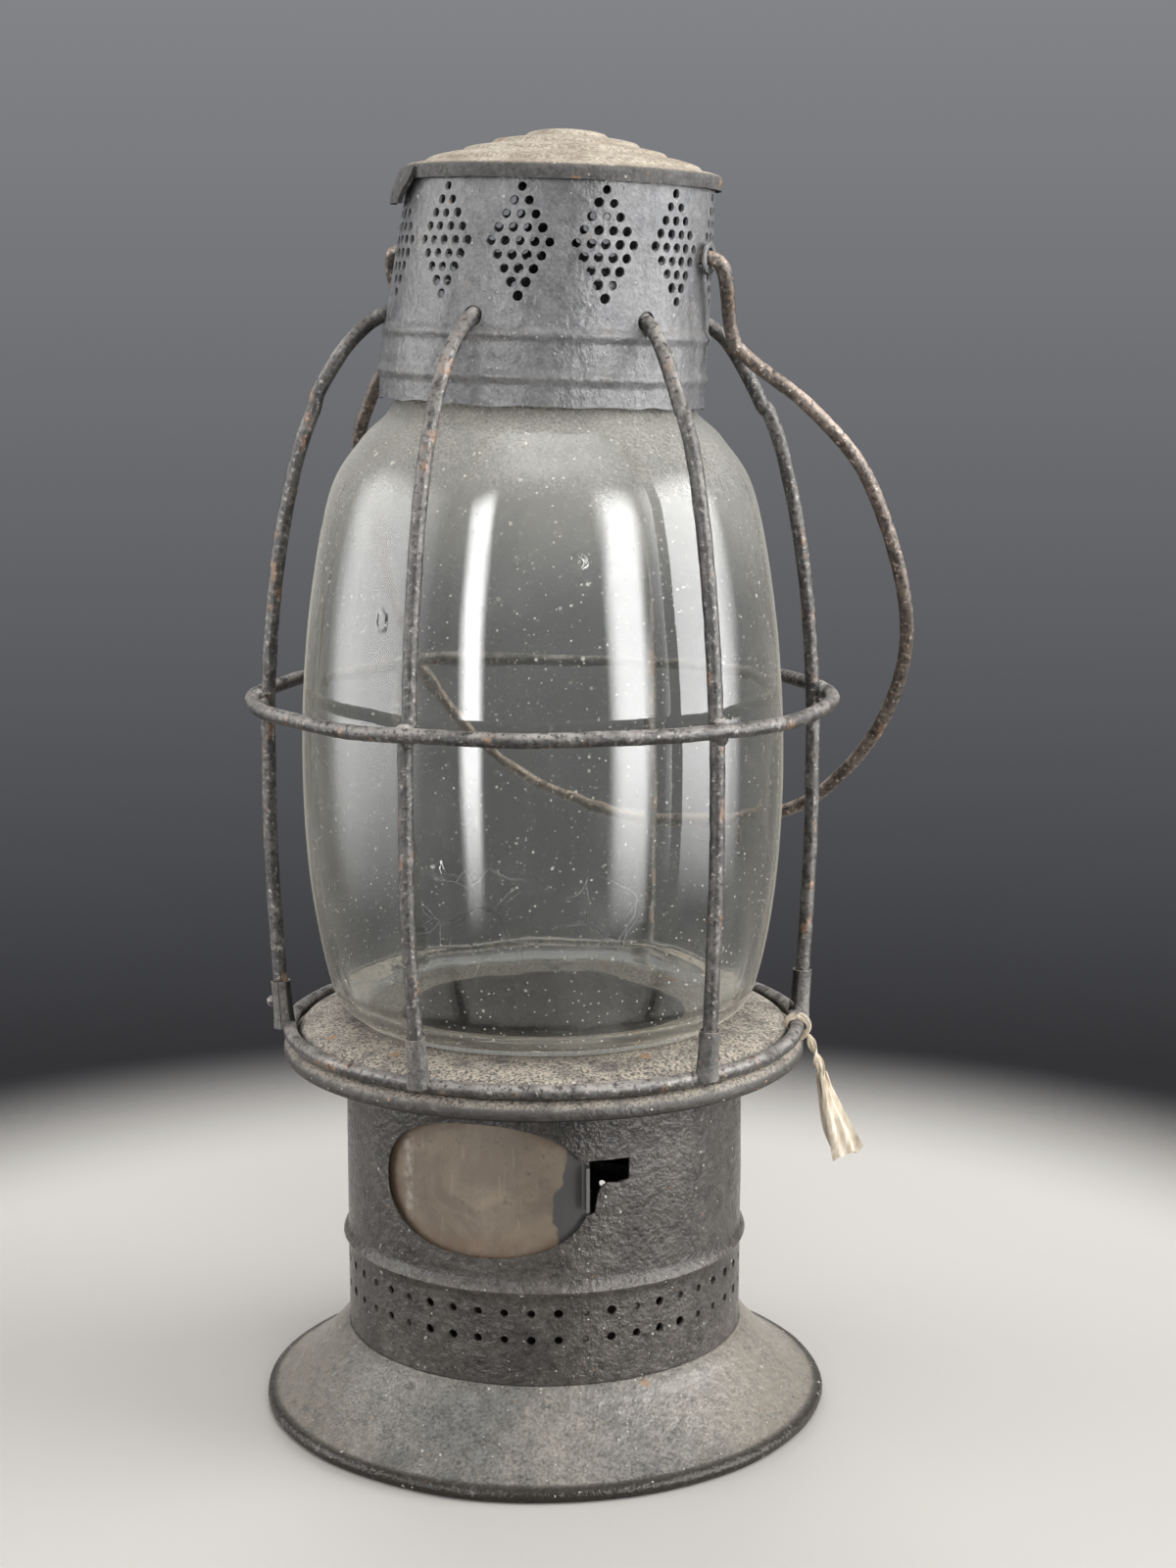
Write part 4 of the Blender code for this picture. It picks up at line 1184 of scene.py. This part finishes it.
for k, (path, bearing) in enumerate(zip(guard_paths, GUARD_BEARINGS), start=1):
    sleeve = new_piece(f"tin_sleeve_{k}", *sleeve_shape(path, bearing), plate_paint)
    settle(sleeve, "lantern", "dark_tin", f"guard_sleeve_{k}")

# %% [markdown]
# ## Geometry Nodes: solder
# Solder sits wherever two wires meet: a fillet at each crossing, a run at each foot, and one bead that
# dripped and set beside the left foot. The tree sets a ball on each point, stretched by its own random
# amount, and a noise makes it lumpy. The balls run into the wires, as melted metal does.

# %% Solder
BLOB_INPUTS = {"Blob radius": "Float", "Lumps": "Float", "Seed": "Int", "Finish": "Material"}
blob_tree, given = new_tree("solder on points", BLOB_INPUTS)
ball = add(blob_tree, "GeometryNodeMeshIcoSphere", {"Radius": given["Blob radius"], "Subdivisions": 3})
sizes = add(blob_tree, "FunctionNodeRandomValue",
            {0: (0.8, 0.8, 0.75), 1: (1.2, 1.2, 1.35), "Seed": given["Seed"]},
            data_type="FLOAT_VECTOR")
blobs = add(blob_tree, "GeometryNodeInstanceOnPoints", {"Points": given["Geometry"], "Instance": ball,
                                                       "Scale": sizes})
blobs = add(blob_tree, "GeometryNodeRealizeInstances", {"Geometry": blobs})
place = add(blob_tree, "GeometryNodeInputPosition")
lumps = put(blob_tree, "ShaderNodeTexNoise",
            {"Vector": place, "Scale": 330.0, "Detail": 2.0}).outputs["Fac"]
end_tree(blob_tree, lumpy(blob_tree, blobs, lumps, given["Lumps"]), given["Finish"])


def solder_piece(name, spots, radius, seed):
    piece = new_object(name, [p * MM for p in spots])
    run_tree(piece, blob_tree,
             {"Blob radius": radius * MM, "Lumps": 1.1 * MM, "Seed": seed, "Finish": solder_grey})
    smooth(piece, 60)
    return piece


crossings = []
for path, bearing in zip(guard_paths, GUARD_BEARINGS):
    crossing = min(path, key=lambda p: abs(p.z - WAIST_RING[1]))
    lift = Vector((0, 0, 0.7))
    crossings.append((crossing + point_at(bearing, WAIST_RING[0], WAIST_RING[1])) / 2 + lift)
    on_ring = point_at(bearing + 1.2, WAIST_RING[0], WAIST_RING[1])
    crossings.append((crossing * 0.7 + on_ring * 0.3) - lift * 2)
solder = solder_piece("crossing_solder", crossings, 2.15, 3)
feet = [path[0] + outward(bearing) * -1.0 + Vector((0, 0, 0.6))
        for path, bearing in zip(guard_paths, GUARD_BEARINGS)]
feet.append(point_at(272.0, 72.9, 109.6))
foot_solder = solder_piece("foot_solder", feet, 1.7, 8)
for piece in (solder, foot_solder):
    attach(piece, "lantern")
print("solder:", len(crossings), "at the ring,", len(feet), "at the feet")

# %% [markdown]
# ## Globe
# The globe is blown glass, 2.6 mm thick, with a shoulder, a straight neck under the hood and a thicker
# foot. It is turned like the tin, but its two sides get different waves: the outer side was shaped in a
# mould and is fairly true, and the inner side is wavy, which is what bends the wires seen through it.

# %% Globe
GLOBE_TOP = 277.0
GLOBE_FOOT = 107.9
GLOBE_SIDES = 192
GLOBE_LINE = [(38.2, GLOBE_TOP), (38.2, 270.5), (40.2, 265.8), (47.1, 258.9), (55.3, 245.0), (61.0, 214.0),
              (63.3, 180.0), (61.9, 144.0), (56.5, 115.4), (50.3, GLOBE_FOOT)]


def glass_wall(height):
    return 2.6 + 1.0 * ramp(height, 114.0, 108.0)


globe_line = through(GLOBE_LINE, 12)
inner_line = [(r, max(h, GLOBE_FOOT)) for r, h in inner_side(globe_line, glass_wall)]
inner_line = [(r, h) for r, h in inner_line if r < 61 and h < GLOBE_TOP + 0.1]


def rounded(start, end, height, swell_out):
    """Rim between two radii, as a low arc that swells away from the height."""
    shares = (0.15, 0.35, 0.5, 0.65, 0.85)
    return [(start * (1 - t) + end * t, height + swell_out * sin(pi * t)) for t in shares]


foot_round = rounded(globe_line[-1][0], inner_line[-1][0], GLOBE_FOOT, -0.35)
neck_round = rounded(inner_line[0][0], globe_line[0][0], GLOBE_TOP, 0.5)
outline = globe_line + foot_round + inner_line[::-1] + neck_round
points, faces = turned(outline, GLOBE_SIDES)
outer_count = len(globe_line) * GLOBE_SIDES
waves = dented(points, 0.18, 34, 4)
inner_waves = dented(points, 0.30, 20, 6)
points = [waves[k] if k < outer_count else inner_waves[k] for k in range(len(points))]
globe = new_piece("blown_globe", points, faces, globe_glass, 60)


def crack_web(p):
    left = max(0.0, 1 - (p - Vector((-16, -58, 145))).length / 19)
    right = max(0.0, 1 - (p - Vector((15.5, -58, 146))).length / 13)
    return min(1.0, 1.5 * max(left, right))


mark(globe, "cracks", crack_web)
settle(globe, "lantern", "glass", "glass_globe")

# %% [markdown]
# ## Hood
# The hood is a rolled tube with two beads, punched with twelve diamonds. Each diamond is a five by five
# grid stood on its corner. The tube is made and punched upright, and only then leaned, so that the hood and
# its holes lean as one. Its lower edge is wavy from years of taking the globe out.

# %% Hood
HOOD_TOP = 324.4
HOOD_RADIUS = 42.0
HOOD_STEP = (0.5, 280.0, 288.6)   # how much narrower it gets above the beads, and between which heights
HOOD_TAPER = 2.1   # how much narrower from there to the top
HOOD_BEADS = ((275.6, 0.8, 2.3), (286.0, 0.9, 2.3))
DIAMONDS = [-101.6 + 30 * k for k in range(12)]
HOLE_PITCH = (3.66, 3.25)   # across a row and between rows
HOLE_WOBBLE = 0.14   # how far off its place a hole may be
DIAMOND_Z = 308.0
PIVOT_BEARING = 67.0
PIVOT_Z = 306.0


def hood_radius(height):
    narrower, low, high = HOOD_STEP
    radius = HOOD_RADIUS - narrower * ramp(height, low, high)
    if height > high:
        radius -= HOOD_TAPER * (height - high) / (HOOD_TOP - high)
    return radius + sum(swell(height, bead) for bead in HOOD_BEADS)


hood_line = [(hood_radius(h), h) for h in evenly(HOOD_TOP, HOOD_FOOT, 88)]
points, faces = turned(sheet(hood_line, TIN), 180)
points = dented(points, 0.28, 17, 5)
hem = [ramp(p.z, 274.0, HOOD_FOOT) for p in points]
points = [p + Vector((0, 0, 0.7 * share * noise.noise(outward(bearing_of(p)) * 6.0)))
          for p, share in zip(points, hem)]
hood = new_piece("vented_hood", points, faces, hood_paint)


def cut_hole(name, radius, bearing, height):
    """Round hole in the hood's wall, straight through along a bearing."""
    side = outward(bearing + 90)
    ring = [side * radius * c + Vector((0, 0, height + radius * s)) for c, s in circle(24)]
    cut_along(hood, name, ring, bearing, 30, 56)


hole_height = min(through(GUARD_LINE, 10), key=lambda spot: abs(spot[0] - 41.0))[1]
for bearing in GUARD_BEARINGS:
    cut_hole("guard_hole", 2.5, bearing, hole_height)
for bearing in (PIVOT_BEARING, PIVOT_BEARING + 180):
    cut_hole("pivot_hole", 2.45, bearing, PIVOT_Z)
spots = []
for bearing in DIAMONDS:
    facing = cos(radians(bearing))
    upright = 1 / copysign(max(abs(facing), 0.6), facing)
    for row in range(-2, 3):
        for column in range(-2, 3):
            across = (row + column) * HOLE_PITCH[0] / 2
            height = DIAMOND_Z + (row - column) * HOLE_PITCH[1]
            across -= tan(HOOD_SKEW) * (height - DIAMOND_Z) * upright
            across += HOLE_WOBBLE * noise.noise(Vector((bearing, row * 3.3, column * 3.3)))
            wobble = HOLE_WOBBLE * noise.noise(Vector((bearing, row * 3.3, column * 3.3 + 40)))
            spots.append((bearing + degrees(across / hood_radius(height)), height + wobble))
punch_wall(hood, spots, wall=40.2, hole=1.2, seed=2, smallest=0.93, plug_wall=39.7, plugged=0.03)
lean_over(hood)
smooth(hood, 38)
# Paler on the beads' upper sides: rubbed wear and a painted highlight.
mark(hood, "rubbed_and_highlit", lambda p: max(ramp(abs(p.z - bead[0] - 0.4), 1.6, 0.3) for bead in HOOD_BEADS) * 0.4)
settle(hood, "lantern", "hood_tin", "vent_hood")

# %% [markdown]
# ## Cap
# The cap is a stepped dome pressed from one disc, with a short upright rim over the hood. At the left a
# piece of the rim was bent down into a tab. Its dust is a rule of height and radius, on the upright cap:
# everything above the rim's corner, thinning towards the edge.

# %% Cap
CAP_LINE = [(0.0, 337.4), (5.0, 337.1), (9.2, 336.35), (10.8, 335.3), (13.0, 335.0), (17.6, 334.2),
            (19.2, 333.1), (21.6, 332.7), (25.0, 332.0), (26.6, 330.9), (29.4, 330.4), (34.0, 329.1),
            (35.6, 327.9), (38.4, 327.3), (40.2, 326.7), (40.85, 325.9), (40.9, 324.6), (40.8, 323.1)]
cap_line = through(CAP_LINE, 5)
points, faces = turned(sheet(cap_line, TIN), 180)
points = [p + Vector((0, 0, 0.14 * noise.noise(p / 13))) for p in points]
points = [p if hypot(p.x, p.y) < 39 else q for p, q in zip(points, dented(points, 0.15, 14, 7))]
cap = new_piece("stepped_cap", points, faces, cap_paint)
mark(cap, "dust", lambda p: ramp(p.z, 325.9, 327.0) * ramp(hypot(p.x, p.y), 41.2, 39.4))
TAB_MIDDLE = -79.0
TAB_HALF = (17.0, 8.0)   # degrees to each side, at its top and at its foot
tab_line = through([(41.6, 325.8), (42.5, 323.0), (43.3, 319.8), (43.4, 317.0)], 6)
points, faces = part_turned(sheet(tab_line, 1.3), -1.0, 1.0, 16)


def tapered(p):
    share = bearing_of(p)
    half = TAB_HALF[1] + (TAB_HALF[0] - TAB_HALF[1]) * ramp(p.z, 317, 324)
    curl = 0.7 * share * share * ramp(p.z, 324, 319)
    return point_at(TAB_MIDDLE + half * share, hypot(p.x, p.y) - curl, p.z)


points = [tapered(p) for p in points]
tab = new_piece("bent_tab", points, faces, cap_paint)
mark(tab, "dust", lambda p: 0.0)
lean_over(cap)
lean_over(tab)
settle(cap, "cap", "cap_tin", "hood_cap")
settle(tab, "cap", "cap_tin", "cap_tab")

# %% [markdown]
# ## Bail
# The bail is hooked into two eyelets in the hood and hangs down behind the globe, leaning on a guard. It
# lies in one plane through the pivot line, so its path is drawn flat, along that line and away from it,
# and set in place by three directions. The eyelets are small turned rings facing along the pivot line.

# %% Bail and eyelets
BAIL_DROP = radians(25.1)
BAIL_RADIUS = 1.85
EYELET_REACH = 41.4   # from the hood's middle
BAIL_LINE = [(36, 0), (43, 0), (46, 4), (46, 20), (49.5, 27), (65.7, 41), (79, 61), (85.8, 96.5), (81, 124.5),
             (65.5, 151), (43, 169.5), (5, 176), (-23, 172), (-48, 158.5), (-65.5, 132), (-72.5, 97),
             (-70, 62), (-61, 42), (-50.5, 27), (-47.5, 20), (-47.5, 4), (-44.5, 0), (-36, 0)]
pivot = lean(Vector((0, 0, PIVOT_Z)))
along = (lean(Vector((0, 0, PIVOT_Z)) + outward(PIVOT_BEARING) * 40) - pivot).normalized()
back = along.cross(Vector((0, 0, -1))).normalized()
down = back.cross(along).normalized()
hang = down * cos(BAIL_DROP) + back * sin(BAIL_DROP)
bail_path = [pivot + along * s + hang * t for s, t in through(BAIL_LINE, 10)]
bail = wire_piece("hanging_bail", [bail_path], BAIL_RADIUS, bail_rust, seed=4.0)
settle(bail, "bail", "bail_wire", "bail_handle")

eyelet_section = [(3.35 + 0.85 * c, 0.75 + 0.68 * s) for c, s in circle(16)]
for name, side, node in (("right_eyelet", 1, "bail_ear_right"), ("left_eyelet", -1, "bail_ear_left")):
    points, faces = turned(eyelet_section, 40)
    turn = (along * side).to_track_quat("Z", "Y").to_matrix()
    points = [turn @ p + pivot + along * side * EYELET_REACH for p in points]
    settle(new_piece(name, points, faces, hood_paint), "lantern", "hood_tin", node)

# %% [markdown]
# ## Paper tag
# A strip of paper is looped through the plate's ring at the right and twisted tight, and its two ends
# flare out below. Cloth simulation would only flatten something this small, so each end is a ribbon
# along a path whose width, twist and pleats are rules of how far along it is.

# %% Paper tag
TAG_BEARING = 84.0


def ribbon(path, width, twist, pleat):
    """Thin pleated strip along a path; the three rules take a share from 0 to 1."""
    steps = range(11)
    thick = 0.11
    points = []
    for k, spot in enumerate(path):
        share = k / (len(path) - 1)
        ahead = (path[min(k + 1, len(path) - 1)] - path[max(k - 1, 0)]).normalized()
        side = Matrix.Rotation(twist(share), 3, ahead) @ ahead.cross(outward(TAG_BEARING)).normalized()
        face = side.cross(ahead)
        for layer in (-1, 1):
            for j in steps[::-layer]:
                v = 2 * j / steps[-1] - 1
                fold = pleat(share) * cos(7.5 * v + 2.0 * share)
                ragged = 1.6 * share ** 6 * noise.noise(Vector((v * 2.4, 3.0, 1.0)))
                points.append(spot + side * width(share) * v + face * (fold + layer * thick) + ahead * ragged)
    return points, stack_faces(2 * len(steps), len(path))


def tag_point(radius, height, beside=0.0):
    return point_at(TAG_BEARING, radius, height) + outward(TAG_BEARING + 90) * beside


def tag_line(*spots):
    return [Vector(p) for p in through([tag_point(*spot) for spot in spots], 8)]


loop = [tag_point(PLATE_RING[0] + 3.05 * cos(radians(a)), PLATE_RING[1] + 3.05 * sin(radians(a)),
                  1.4 * a / 360)
        for a in range(-40, 330, 10)]
knot = tag_line((71.0, 101.4), (73.2, 96.0), (75.4, 89.0))
front_end = tag_line((74.6, 91.5), (76.8, 85.0, -1.2), (79.6, 77.0, -1.6), (82.2, 69.0, -0.4))
back_end = tag_line((74.6, 91.5), (76.2, 84.0, 1.5), (78.0, 76.5, 1.9), (80.6, 71.5, 1.2))
strips = [ribbon(loop, lambda s: 1.0, lambda s: 5.0 * s, lambda s: 0.25),
          ribbon(knot, lambda s: 1.15 + 0.35 * s, lambda s: 6.5 * s, lambda s: 0.40),
          ribbon(front_end, lambda s: 1.5 + 3.0 * s, lambda s: 0.3 + 0.9 * s, lambda s: 0.75 - 0.4 * s),
          ribbon(back_end, lambda s: 1.5 + 2.3 * s, lambda s: 1.4 - 0.5 * s, lambda s: 0.75 - 0.3 * s)]
parts = [new_piece("paper_tag" if k == 0 else f"paper_strip_{k}", *strip, tag_paper, 60)
         for k, strip in enumerate(strips)]
merged(*parts)
smooth(parts[0], 60)
settle(parts[0], "lantern", "paper", "tag_tie")

# %% [markdown]
# ## Wick
# The wick is a flat woven tape that stands in the burner's tube. Its section is an oval squared off like a
# tape, and the weave is a rule that swells every second crossing, so each face is a small checker of
# tufts. The tape lies across the burner at the same bearing as the stem that feeds it, so its width is
# measured along that bearing and not along X or Y: a tape built to the solid's upright box would be three
# times too thick for its tube. Its lit end is charred.

# %% Wick
low, high = (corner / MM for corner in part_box("wick"))
middle = (low + high) / 2
TAPE_BEARING = -18.0
TAPE_HALF = (5.3, 0.9)
wide = outward(TAPE_BEARING)
thin = Vector((-wide.y, wide.x, 0))
ROWS = 160
AROUND = 48
points = []
for row, height in enumerate(evenly(low.z, high.z, ROWS)):
    for c, s in circle(AROUND):
        across = fuller(c, 0.45)
        tuft = 0.86 + 0.14 * sin(5 * pi * across) * cos(pi * row / 2)
        depth = fuller(s, 0.45) * tuft
        spot = wide * (TAPE_HALF[0] * across) + thin * (TAPE_HALF[1] * depth)
        points.append(Vector((middle.x, middle.y, height)) + spot)
wick = new_piece("woven_wick", points, stack_faces(AROUND, ROWS + 1), wick_cotton, 60)
mark(wick, "charred", lambda p: ramp(p.z, high.z - 7.0, high.z - 1.5))
settle(wick, "wick_feed", "cotton", "wick")

# %% [markdown]
# ## Inside the base
# The door's rails, the fount and the burner stay as the frame made them: they are hidden behind tin and
# glass, and only their finish can be told from outside. Giving a material to the slot is all they need.

# %% Finishes of the inner solids
INNER_FINISH = {"bare_tin": dull_tin, "brass": old_brass}
slot_of = {entry["node"]: entry["material_slot"] for entry in frame["record"]["subparts"]}
for name in ("door_rail_lower", "door_rail_upper", "fount_pot", "burner_collar", "burner_body", "wick_tube",
             "flame_deflector", "wick_wheel", "wick_stem", "wick_knob"):
    frame["nodes"][name].material_slots[0].material = INNER_FINISH[slot_of[name]]
print("inner solids dressed")
